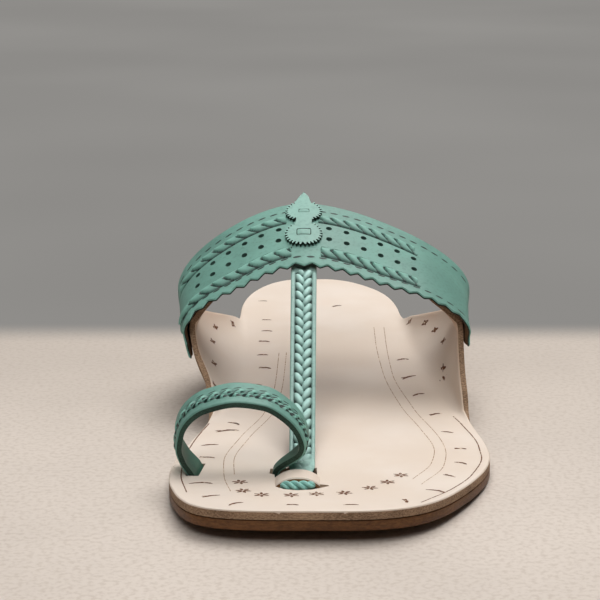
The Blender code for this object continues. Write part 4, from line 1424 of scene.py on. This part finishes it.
def punches():
    """One mesh of the punches for the band's holes, each square to the band."""
    sides = 20
    angles = 2 * np.pi * np.arange(sides) / sides
    points, faces = [], []
    for side in (-1, 1):
        for across in HOLE_ROWS:
            for number in range(HOLES_PER_ROW):
                share = 1 - (HOLE_START + number * HOLE_SPACING) / band_arc(side, across)
                low, high = (band_surface(side, share, across, lift) for lift in PUNCH_REACH)
                axis = (high - low) / np.linalg.norm(high - low)
                first = np.cross(axis, (0, 1.0, 0.2))
                first /= np.linalg.norm(first)
                second = np.cross(axis, first)
                ring = HOLE_RADIUS * (np.outer(np.cos(angles), first) + np.outer(np.sin(angles), second))
                near = range(len(points), len(points) + sides)
                far = range(near.stop, near.stop + sides)
                points += [*(low + ring), *(high + ring)]
                faces += [tuple(near), tuple(reversed(far))]
                for i in range(sides):
                    after = (i + 1) % sides
                    faces.append((near[i], far[i], far[after], near[after]))
    # The holes' walls take a low shade value: painted shade inside the holes
    maps = {"pattern": np.zeros((len(points), 2)), "shade": np.full((len(points), 2), 0.1)}
    return add_object("punches", points, faces, (), np.zeros(len(faces)), maps)


def build_t_strap(looks, relief_sizes):
    """T strap: flat margins with a groove, and a braid of leaves that point to the toes.

    Its middle line is a height over the distance from the toe, and under the band it keeps a little
    below the band's lining. A point lies across from that line by a share of the half width, and
    off it by the relief along the line's normal.
    """
    known = column(STRAP, "along")
    hidden = np.linspace(known[-1], known[-1] + STRAP_HIDDEN, 30)[1:]
    along = np.concatenate([np.linspace(known[0], known[-1], 430), hidden])
    height = smooth_read(known, column(STRAP, "height"), along)
    crown = bed_height(along) + read(FORM, "crown", along) * INSTEP_HEIGHT + EAR_THICKNESS
    height = np.where(along > known[-1], crown - STRAP_DROP, height)
    far = along * SOLE_LENGTH
    slope = np.stack([np.gradient(far), np.gradient(height)], axis=-1)
    slope /= np.linalg.norm(slope, axis=1)[:, None]
    length = np.concatenate([[0], np.cumsum(np.hypot(np.diff(far), np.diff(height)))])
    share = (far - far[0]) / (far[-1] - far[0])
    narrow = STRAP_TAIL + (STRAP_WIDTH_TOE - STRAP_TAIL) * ease((far - TAIL_END) / TAIL_FADE)
    half = (narrow + (STRAP_WIDTH_TOP - STRAP_WIDTH_TOE) * share) / 2
    w = np.unique(np.round(np.concatenate([np.linspace(-1, 1, 53), [-0.985, 0.985]]), 4))
    across = w[None, :] * half[:, None]
    soft = (ease((far - BRAID_START) / BRAID_FADE) * ease((BRAID_END - far) / 0.001))[:, None]
    leaf = lobes(length[:, None], across, relief_sizes.braid_pitch, **BRAID_LEAF)
    zone = np.clip((BRAID_WIDTH / 2 + BRAID_MARGIN - np.abs(across)) / 0.0002, 0, 1)
    rough = zone * (1 - soft) * ease((far - BRAID_ROUGH) / 0.003)[:, None]
    line = np.exp(-(((np.abs(across) - BRAID_WIDTH / 2 - BRAID_MARGIN) / 0.00022) ** 2)) * soft
    rise = zone * (relief_sizes.braid_height * 1.7 * leaf - 0.0004) * soft
    rise = rise + rough * relief_sizes.braid_height * 0.5 * leaf
    rise = rise - 0.0001 * line - edge_drop((1 - np.abs(w))[None, :] * half[:, None])
    # Painted shade between the braid's leaves and along the lines beside it, and a painted highlight on the
    # leaves' tops
    shade = np.minimum(1 - zone * soft * np.clip(1.5 - 3.4 * leaf, 0, 1), 1 - 0.35 * line)
    painted_highlight = zone * soft * 0.6 * np.clip(2.2 * leaf - 1.2, 0, 1)
    x = STRAP_MIDDLE + STRAP_SHIFT * (1 - share)[:, None] + across
    run, up = slope[:, :1], slope[:, 1:]
    outer, inner = (
        np.stack([x, far[:, None] - up * lift - SOLE_LENGTH / 2, height[:, None] + run * lift], axis=-1)
        for lift in (rise, np.full_like(rise, -STRAP_THICKNESS))
    )
    # The T strap's colour is partly painted light, for the light that falls on its upward face
    looks_of_strap = green_set("T strap", looks, looks.braid_lit)
    strap = add_wall("braided_t_strap", outer, inner, looks_of_strap, shade=shade, painted_highlight=painted_highlight)
    keep(strap, "strap_leather", "t_strap")


def build_toe_loop(looks):
    """Toe loop: a wide strap with two rows of lacing slits on its outer face.

    Its section is a smooth curve through the loop's table, in half spans and rises. The rear edge
    is flared and raised in proportion to the height, and each place is as wide as the table's
    shares of the loop's width. The lining lies under it by the thickness along the normal.
    """
    table = [column(LOOP, name) for name in LOOP[0]]
    run = np.concatenate([[0], np.cumsum(np.hypot(np.diff(table[0]), np.diff(table[1])))])
    at = np.linspace(0, run[-1], 320)
    across, up, front, rear = (smooth_read(run, values, at) for values in table)
    share = np.unique(np.round(np.concatenate([np.linspace(0, 1, 45), [0.012, 0.988]]), 4))[:, None]
    lean = np.clip(up / 0.345, 0, 1)[None, :] * share
    x = LOOP_CENTRE + across[None, :] * LOOP_SPAN / 2 * (1 + LOOP_FLARE * lean)
    x = x + LOOP_SKEW * share * (np.clip(1 - up / 0.5, 0, 1) * (across < 0))[None, :]
    y = LOOP_FRONT + (front[None, :] + (rear - front)[None, :] * share) * LOOP_WIDTH - SOLE_LENGTH / 2
    z = float(bed_height(LOOP_FOOT)) + up[None, :] * LOOP_RISE * (1 + LOOP_LEAN * lean)
    run_x, run_z = np.gradient(x, axis=1), np.gradient(z, axis=1)
    size = np.hypot(run_x, run_z)
    length = np.cumsum(size, axis=1)
    wide = share * LOOP_WIDTH
    middle = wide - LACING_ROW
    lace = lobes(length, middle, LACING_PITCH, **LACING_LEAF)
    zone = np.clip((LACING_HALF - np.abs(middle)) / 0.0005, 0, 1)
    rise = zone * LACING_HEIGHT * (lace - 0.3) - edge_drop(np.minimum(wide, LOOP_WIDTH - wide))
    # Painted shade between the lacing's leaves, and a painted highlight on their tops
    shade = 1 - zone * np.clip(0.4 - 1.2 * lace, 0, 1)
    painted_highlight = zone * 0.45 * np.clip(2.2 * lace - 1.0, 0, 1)
    outer, inner = (
        np.stack([x - run_z * lift / size, y, z + run_x * lift / size], axis=-1)
        for lift in (rise, -LOOP_THICKNESS)
    )
    pattern = np.stack(np.broadcast_arrays(length * 100, wide * 100), axis=-1)
    face, _, edge = green_set("Toe loop", looks, looks.strap, SLIT_ROWS, (62, 94, 80))
    lining = leather("Toe loop lining", linear(62, 104, 88), looks.groove)
    loop = add_wall("laced_toe_loop", outer, inner, (face, lining, edge), pattern, shade, painted_highlight=painted_highlight)
    keep(loop, "strap_leather", "toe_loop")


def disc_arc(middle, start, end, stretch):
    """Gear-cut arc of a disc, clockwise from the rear: the teeth are a squared-off sine wave."""
    count = int((end - start) / (2 * np.pi) * DISC_TEETH * 8)
    angle = np.linspace(start, end, count)
    wave = np.sin(angle * DISC_TEETH)
    radius = DISC_RADIUS - DISC_TOOTH * 1.6 * (0.5 + 0.5 * np.tanh(2.2 * wave))
    return [(r * np.sin(a), middle + stretch * r * np.cos(a)) for r, a in zip(radius, angle)]


def build_rosette(looks):
    """Rosette: gear-cut discs, a neck and a point, with a lace stitched through each disc.

    The flat outline is filled with triangles and laid over the band's crown at two heights. A lace
    is a rectangle whose height falls as a fourth power towards its edges.
    """
    neck = np.arcsin(NECK_HALF_WIDTH / DISC_RADIUS)
    base = np.arcsin(POINT_HALF_WIDTH / DISC_RADIUS)
    outline = disc_arc(DISC_FRONT, neck, 2 * np.pi - neck, DISC_STRETCH)
    outline += disc_arc(DISC_REAR, np.pi + neck, 2 * np.pi - base, REAR_STRETCH)
    flank = (DISC_REAR + DISC_RADIUS + POINT_TIP) / 2
    shoulder = 0.52 * POINT_HALF_WIDTH
    outline += [(-shoulder, flank), (0.0, POINT_TIP), (shoulder, flank)]
    outline += disc_arc(DISC_REAR, base, np.pi - neck, REAR_STRETCH)
    edges = [(i, (i + 1) % len(outline)) for i in range(len(outline))]
    inside = []
    for middle, stretch in ((DISC_FRONT, DISC_STRETCH), (DISC_REAR, REAR_STRETCH)):
        for radius in (0.0, 0.001, 0.002, 0.003, 0.0038, 0.0045):
            for a in np.linspace(0, 2 * np.pi, max(1, round(radius * 8000)), endpoint=False):
                inside.append((radius * np.sin(a), middle + stretch * radius * np.cos(a)))
    inside += [(0.0, v) for v in (0.0375, 0.039, 0.0405, 0.042, (DISC_FRONT + DISC_REAR) / 2)]
    made = delaunay_2d_cdt([Vector(p) for p in outline + inside], edges, [], 1, 1e-7)
    flat, faces = made[0], [tuple(face) for face in made[2]]
    points = [rosette_point(p[0], p[1], lift) for lift in (0.0, ROSETTE_THICKNESS) for p in flat]
    count = len(flat)
    used = {pair for face in faces for pair in zip(face, face[1:] + face[:1])}
    borders = [(a, b) for a, b in used if (b, a) not in used]
    solid = list(faces) + [tuple(i + count for i in reversed(face)) for face in faces]
    solid += [(b, a, a + count, b + count) for a, b in borders]
    indices = [0] * (2 * len(faces)) + [1] * len(borders)
    face = leather("Rosette face", looks.rosette, looks.groove)
    edge = fibre("Rosette edge", linear(40, 66, 56), linear(16, 30, 25), 1600)
    maps = {"shade": np.ones((len(points), 2))}
    rosette = add_object("gear_rosette", points, solid, (face, edge), indices, maps)
    keep(rosette, "rosette_leather", "double_rosette")
    u, v = np.meshgrid(np.linspace(-1, 1, 13), np.linspace(-1, 1, 9))
    dome = ROSETTE_THICKNESS + ROSETTE_LACE_RISE * (1 - u**4) * (1 - v**4)
    seat = ROSETTE_THICKNESS - ROSETTE_LACE_SINK
    strokes = []
    for number, (middle, wide, deep, line) in enumerate(ROSETTE_LACES):
        outer, inner = (rosette_points(u * wide, middle + v * deep, lift) for lift in (dome, seat))
        piece = add_wall(f"rosette_lace_{number + 1}", outer, inner, (face, edge, edge))
        keep(piece, "rosette_leather")
        wide, low, high = 1000 * wide, 1000 * (middle - deep), 1000 * (middle + deep)
        strokes.append(([(-wide, high), (0, high + 0.05), (wide, high + 0.15)], 0.62, False, rosette_lay))
        for first, last in (
            ((-wide, low), (wide, low)),
            ((-wide, low), (-wide, high)),
            ((wide, low), (wide, high)),
        ):
            strokes.append((np.linspace(first, last, 3), line, False, rosette_lay))
    keep(stroke_mesh("rosette_slots", strokes, edge), "rosette_leather")


def rosette_point(x, across, lift):
    """Point on the crown of the band from x and the distance from the band's front."""
    along = BAND_START + (BAND_SWEEP + across * BAND_LEAN) / SOLE_LENGTH
    x += ROSETTE_MIDDLE - float(read(FORM, "middle", along)) * BALL_WIDTH / 2
    side = -1 if x < 0 else 1
    share = 1 - abs(x) / band_arc(side, across)
    return band_surface(side, share, across, band_lift(share, across) + BAND_THICKNESS + GAP + lift)


def rosette_points(x, across, lift):
    """Points over the band's crown, from arrays of the same values."""
    spots = np.stack(np.broadcast_arrays(x, across, lift), axis=-1)
    return np.reshape([rosette_point(*spot) for spot in spots.reshape(-1, 3)], spots.shape)


def rosette_lay(x, far):
    """Maps strokes in millimetres onto the rosette's face."""
    return rosette_points(x / 1000, far / 1000, ROSETTE_THICKNESS + STAMP_LIFT)


def build_lace_end(looks):
    """Lace end: three tubes that wind round a bowed line in the front of the window."""
    along, round_ = np.meshgrid(np.linspace(0, 1, 90), np.linspace(0, 2 * np.pi, 21), indexing="ij")
    swell = np.sqrt(np.clip(1 - (2 * along - 1) ** 4, 0.08, 1))
    middle_x = LACE_MEDIAL + (LACE_LATERAL - LACE_MEDIAL) * along
    middle_t = LACE_FROM_TOE + LACE_BOW * (2 * along - 1) ** 2
    middle_z = float(bed_height(LACE_FROM_TOE / SOLE_LENGTH)) + LACE_LIFT
    face = leather("Lace face", looks.lace, looks.groove, grain=1500)
    off, thick = STRAND_OFFSET * LACE_RADIUS, STRAND_RADIUS * LACE_RADIUS
    faces = quads(np.arange(along.size).reshape(along.shape))
    maps = {"shade": np.ones((along.size, 2))}
    for number, stands_for in enumerate((("lace_end",), (), ())):
        angle = LACE_TURN * along + number * 2 * np.pi / 3
        y = middle_t + LACE_SPREAD * (off * np.cos(angle) + thick * np.cos(round_)) * swell
        z = middle_z + (off * np.sin(angle) + thick * np.sin(round_)) * swell
        points = np.stack([middle_x, y - SOLE_LENGTH / 2, z], axis=-1).reshape(-1, 3)
        name = f"lace_strand_{number + 1}"
        strand = add_object(name, points, faces, (face,), np.zeros(len(faces)), maps)
        keep(strand, "lace_leather", *stands_for)


def floor_material(stage):
    """Floor: speckled, and turning to the backdrop's grey behind the heel."""
    material, tree, shader = new_material("Floor")
    place = object_place(tree)
    back = parts_of(tree, place)[1]
    dim = tuple(0.92 * c for c in stage.floor)
    base = blend(tree, span(tree, noise(tree, place, 14.0, 6.0), 0.3, 0.7), stage.floor, dim)
    grains = span(tree, noise(tree, place, 620.0, 4.0), 0.42, 0.7, 0.0, 0.3)
    base = blend(tree, grains, base, stage.speckle)
    base = blend(tree, span(tree, back, -0.12, 0.16, 0.0, 0.55), base, linear(166, 156, 146))
    fill(tree, shader, {"Base Color": base, "Roughness": 0.85})
    grey = put(tree, "ShaderNodeEmission", {"Color": backdrop_colour(tree, stage), "Strength": 1.0})
    far = span(tree, back, FLOOR_EDGE - FLOOR_BLUR, FLOOR_EDGE + FLOOR_BLUR)
    mixed = put(tree, "ShaderNodeMixShader", {0: far, 1: shader.outputs[0], 2: grey.outputs[0]})
    fill(tree, tree.nodes["Material Output"], {"Surface": mixed.outputs[0]})
    return material


def backdrop_material(stage):
    """Backdrop: an even glow of its own grey."""
    material, tree, _ = new_material("Backdrop")
    glow = put(tree, "ShaderNodeEmission", {"Color": backdrop_colour(tree, stage), "Strength": 1.0})
    fill(tree, tree.nodes["Material Output"], {"Surface": glow.outputs[0]})
    return material


def link_new(name, data):
    """A new object in the scene."""
    made = bpy.data.objects.new(name, data)
    bpy.context.scene.collection.objects.link(made)
    return made


def build_stage(stage):
    """Floor, backdrop, light and camera. The floor turns to the backdrop's grey behind the heel."""
    scene = bpy.context.scene
    far, top = STAGE_REACH, BACKDROP_HEIGHT
    ground = ((-far, -far, 0), (far, -far, 0), (far, far, 0), (-far, far, 0))
    wall = ((-far, far, 0), (far, far, 0), (far, far, top), (-far, far, top))
    for name, corners, look in (
        ("floor", ground, floor_material(stage)),
        ("backdrop", wall, backdrop_material(stage)),
    ):
        mesh = bpy.data.meshes.new(name)
        mesh.from_pydata(corners, [], [(0, 1, 2, 3)])
        mesh.materials.append(look)
        link_new(name, mesh)
    for name, size, spot, aim in LAMPS:
        lamp = bpy.data.lights.new(name, "AREA")
        lamp.energy = getattr(stage, name.lower())
        lamp.size = size
        lamp.color = (1.0, 0.985, 0.965)
        made = link_new(name, lamp)
        made.location = spot
        made.rotation_euler = (Vector(aim) - Vector(spot)).to_track_quat("-Z", "Y").to_euler()
    world = bpy.data.worlds.new("Studio")
    world.use_nodes = True
    sky = {"Color": (0.9, 0.93, 1.0, 1.0), "Strength": stage.world}
    fill(world.node_tree, world.node_tree.nodes["Background"], sky)
    scene.world = world
    scene.view_settings.view_transform = "Standard"
    camera = bpy.data.cameras.new("Camera")
    camera.sensor_width = SENSOR_MM
    camera.lens = CAMERA_FOCAL_PX / PICTURE_SIDE_PX * SENSOR_MM
    made = link_new("Camera", camera)
    made.location = (CAMERA_X + SHIFT_X, -CAMERA_BACK, CAMERA_HEIGHT)
    made.rotation_euler = (math.radians(90 - CAMERA_PITCH), 0, 0)
    scene.camera = made


def backdrop_colour(tree, stage):
    """Soft mottled grey of a plaster wall out of focus."""
    slow = span(tree, noise(tree, object_place(tree), 2.2, 2.0), 0.3, 0.7)
    return blend(tree, slow, stage.backdrop, tuple(1.13 * c for c in stage.backdrop))


def colour_setting(name, colour, about):
    """A colour of the sidebar, given as a display colour from 0 to 255."""
    return bpy.props.FloatVectorProperty(
        name=name, description=about, default=linear(*colour), size=4, min=0.0, max=1.0, subtype="COLOR"
    )


def length_setting(name, value, about):
    """A length of the sidebar."""
    return bpy.props.FloatProperty(
        name=name, description=about, default=value, min=0.0001, max=0.1, precision=5, unit="LENGTH"
    )


class SandalLooks(bpy.types.PropertyGroup):
    """Colours of the sandal's leathers and inks."""

    strap: colour_setting("Straps", (112, 160, 147), "Face of the band and the toe loop")
    # Lighter than the straps: partly the T strap's own colour, partly painted light for the light on its
    # upward face
    braid_lit: colour_setting("T strap", (154, 191, 182), "Face of the braided T strap")
    rosette: colour_setting("Rosette", (136, 180, 168), "Face of the gear-cut rosette")
    lace: colour_setting("Lace", (140, 196, 186), "Twisted lace in the window")
    groove: colour_setting("Grooves", (13, 30, 26), "Grooves, slits and stitches of the straps")
    insole: colour_setting("Insole", (223, 210, 198), "Face of the insole")
    insole_edge: colour_setting("Insole edge", (190, 158, 128), "Cut edge of the insole")
    outsole: colour_setting("Outsole", (132, 90, 54), "Cut edge of the outsole")
    ink: colour_setting("Stamps", (104, 62, 36), "Stamped stars and marks")
    line: colour_setting("Scribed lines", (164, 132, 104), "Fine lines round the foot")


class SandalRelief(bpy.types.PropertyGroup):
    """Sizes of the plaits, the braid and the stitches."""

    plait_pitch: length_setting("Plait pitch", 0.0044, "Distance between a plait's leaves")
    plait_height: length_setting("Plait height", PLAIT_HEIGHT, "Height of the plaits on the band")
    braid_pitch: length_setting("Braid pitch", BRAID_PITCH, "Distance between the T strap's leaves")
    braid_height: length_setting("Braid height", BRAID_HEIGHT, "Height of the T strap's braid")
    stitch_pitch: length_setting("Stitch pitch", 0.0039, "Distance between stitches of the band")
    stitch_front: length_setting("Front stitches", 0.0042, "From the band's front to its first row")
    stitch_rear: length_setting("Rear stitches", 0.0316, "From the band's front to its rear row")


class SandalStage(bpy.types.PropertyGroup):
    """Light and ground of the picture."""

    key: bpy.props.FloatProperty(
        name="Key", description="Power of the lamp above", default=11.5, min=0.0, unit="POWER"
    )
    fill: bpy.props.FloatProperty(
        name="Fill", description="Power of the lamp in front", default=6.5, min=0.0, unit="POWER"
    )
    back: bpy.props.FloatProperty(
        name="Back", description="Power of the lamp behind", default=6.0, min=0.0, unit="POWER"
    )
    world: bpy.props.FloatProperty(
        name="Sky", description="Strength of the light from all round", default=0.055, min=0.0
    )
    floor: colour_setting("Floor", (214, 203, 193), "Ground of the picture")
    speckle: colour_setting("Speckle", (164, 146, 130), "Fine dark grains of the ground")
    backdrop: colour_setting("Backdrop", (140, 138, 135), "Grey behind the sandal")


class SANDAL_OT_outsole(bpy.types.Operator):
    """Build the outsole"""

    bl_idname = "sandal.outsole"
    bl_label = "Outsole"

    def execute(self, context):
        build_outsole(context.scene.sandal_looks)
        return {"FINISHED"}


class SANDAL_OT_insole(bpy.types.Operator):
    """Build the insole with its ears, window and bridge"""

    bl_idname = "sandal.insole"
    bl_label = "Insole"

    def execute(self, context):
        build_insole(context.scene.sandal_looks)
        return {"FINISHED"}


class SANDAL_OT_stamps(bpy.types.Operator):
    """Stamp the stars and marks and scribe the lines"""

    bl_idname = "sandal.stamps"
    bl_label = "Stamps and lines"

    def execute(self, context):
        build_stamps(context.scene.sandal_looks)
        return {"FINISHED"}


class SANDAL_OT_band(bpy.types.Operator):
    """Build the instep band with plaits, stitches and holes"""

    bl_idname = "sandal.band"
    bl_label = "Instep band"

    def execute(self, context):
        build_band(context.scene.sandal_looks, context.scene.sandal_relief)
        return {"FINISHED"}


class SANDAL_OT_t_strap(bpy.types.Operator):
    """Build the braided T strap"""

    bl_idname = "sandal.t_strap"
    bl_label = "T strap"

    def execute(self, context):
        build_t_strap(context.scene.sandal_looks, context.scene.sandal_relief)
        return {"FINISHED"}


class SANDAL_OT_toe_loop(bpy.types.Operator):
    """Build the laced toe loop"""

    bl_idname = "sandal.toe_loop"
    bl_label = "Toe loop"

    def execute(self, context):
        build_toe_loop(context.scene.sandal_looks)
        return {"FINISHED"}


class SANDAL_OT_rosette(bpy.types.Operator):
    """Build the gear-cut rosette and its lace"""

    bl_idname = "sandal.rosette"
    bl_label = "Rosette"

    def execute(self, context):
        build_rosette(context.scene.sandal_looks)
        return {"FINISHED"}


class SANDAL_OT_lace(bpy.types.Operator):
    """Build the twisted end of the lace"""

    bl_idname = "sandal.lace"
    bl_label = "Lace end"

    def execute(self, context):
        build_lace_end(context.scene.sandal_looks)
        return {"FINISHED"}


class SANDAL_OT_stage(bpy.types.Operator):
    """Set up the floor, backdrop, lamps and camera"""

    bl_idname = "sandal.stage"
    bl_label = "Stage"

    def execute(self, context):
        build_stage(context.scene.sandal_stage)
        return {"FINISHED"}


OPERATORS = (
    SANDAL_OT_outsole,
    SANDAL_OT_insole,
    SANDAL_OT_stamps,
    SANDAL_OT_band,
    SANDAL_OT_t_strap,
    SANDAL_OT_toe_loop,
    SANDAL_OT_rosette,
    SANDAL_OT_lace,
    SANDAL_OT_stage,
)


class SANDAL_PT_panel(bpy.types.Panel):
    """Pieces and settings of the sandal"""

    bl_idname = "SANDAL_PT_panel"
    bl_label = "Toe-Loop Sandal"
    bl_space_type = "VIEW_3D"
    bl_region_type = "UI"
    bl_category = "Sandal"

    def draw(self, context):
        layout = self.layout
        for title, group in (
            ("Colours", context.scene.sandal_looks),
            ("Relief", context.scene.sandal_relief),
            ("Stage", context.scene.sandal_stage),
        ):
            box = layout.box()
            box.label(text=title)
            for name in group.__annotations__:
                box.prop(group, name)
        for operator in OPERATORS:
            layout.operator(operator.bl_idname)


CLASSES = (SandalLooks, SandalRelief, SandalStage, *OPERATORS, SANDAL_PT_panel)


def register():
    for item in CLASSES:
        bpy.utils.register_class(item)
    bpy.types.Scene.sandal_looks = bpy.props.PointerProperty(type=SandalLooks)
    bpy.types.Scene.sandal_relief = bpy.props.PointerProperty(type=SandalRelief)
    bpy.types.Scene.sandal_stage = bpy.props.PointerProperty(type=SandalStage)


def unregister():
    del bpy.types.Scene.sandal_stage
    del bpy.types.Scene.sandal_relief
    del bpy.types.Scene.sandal_looks
    for item in reversed(CLASSES):
        bpy.utils.unregister_class(item)


def main():
    register()
    bpy.ops.sandal.outsole()
    bpy.ops.sandal.insole()
    bpy.ops.sandal.stamps()
    bpy.ops.sandal.band()
    bpy.ops.sandal.t_strap()
    bpy.ops.sandal.toe_loop()
    bpy.ops.sandal.rosette()
    bpy.ops.sandal.lace()
    bpy.ops.sandal.stage()


if __name__ == "__main__":
    main()
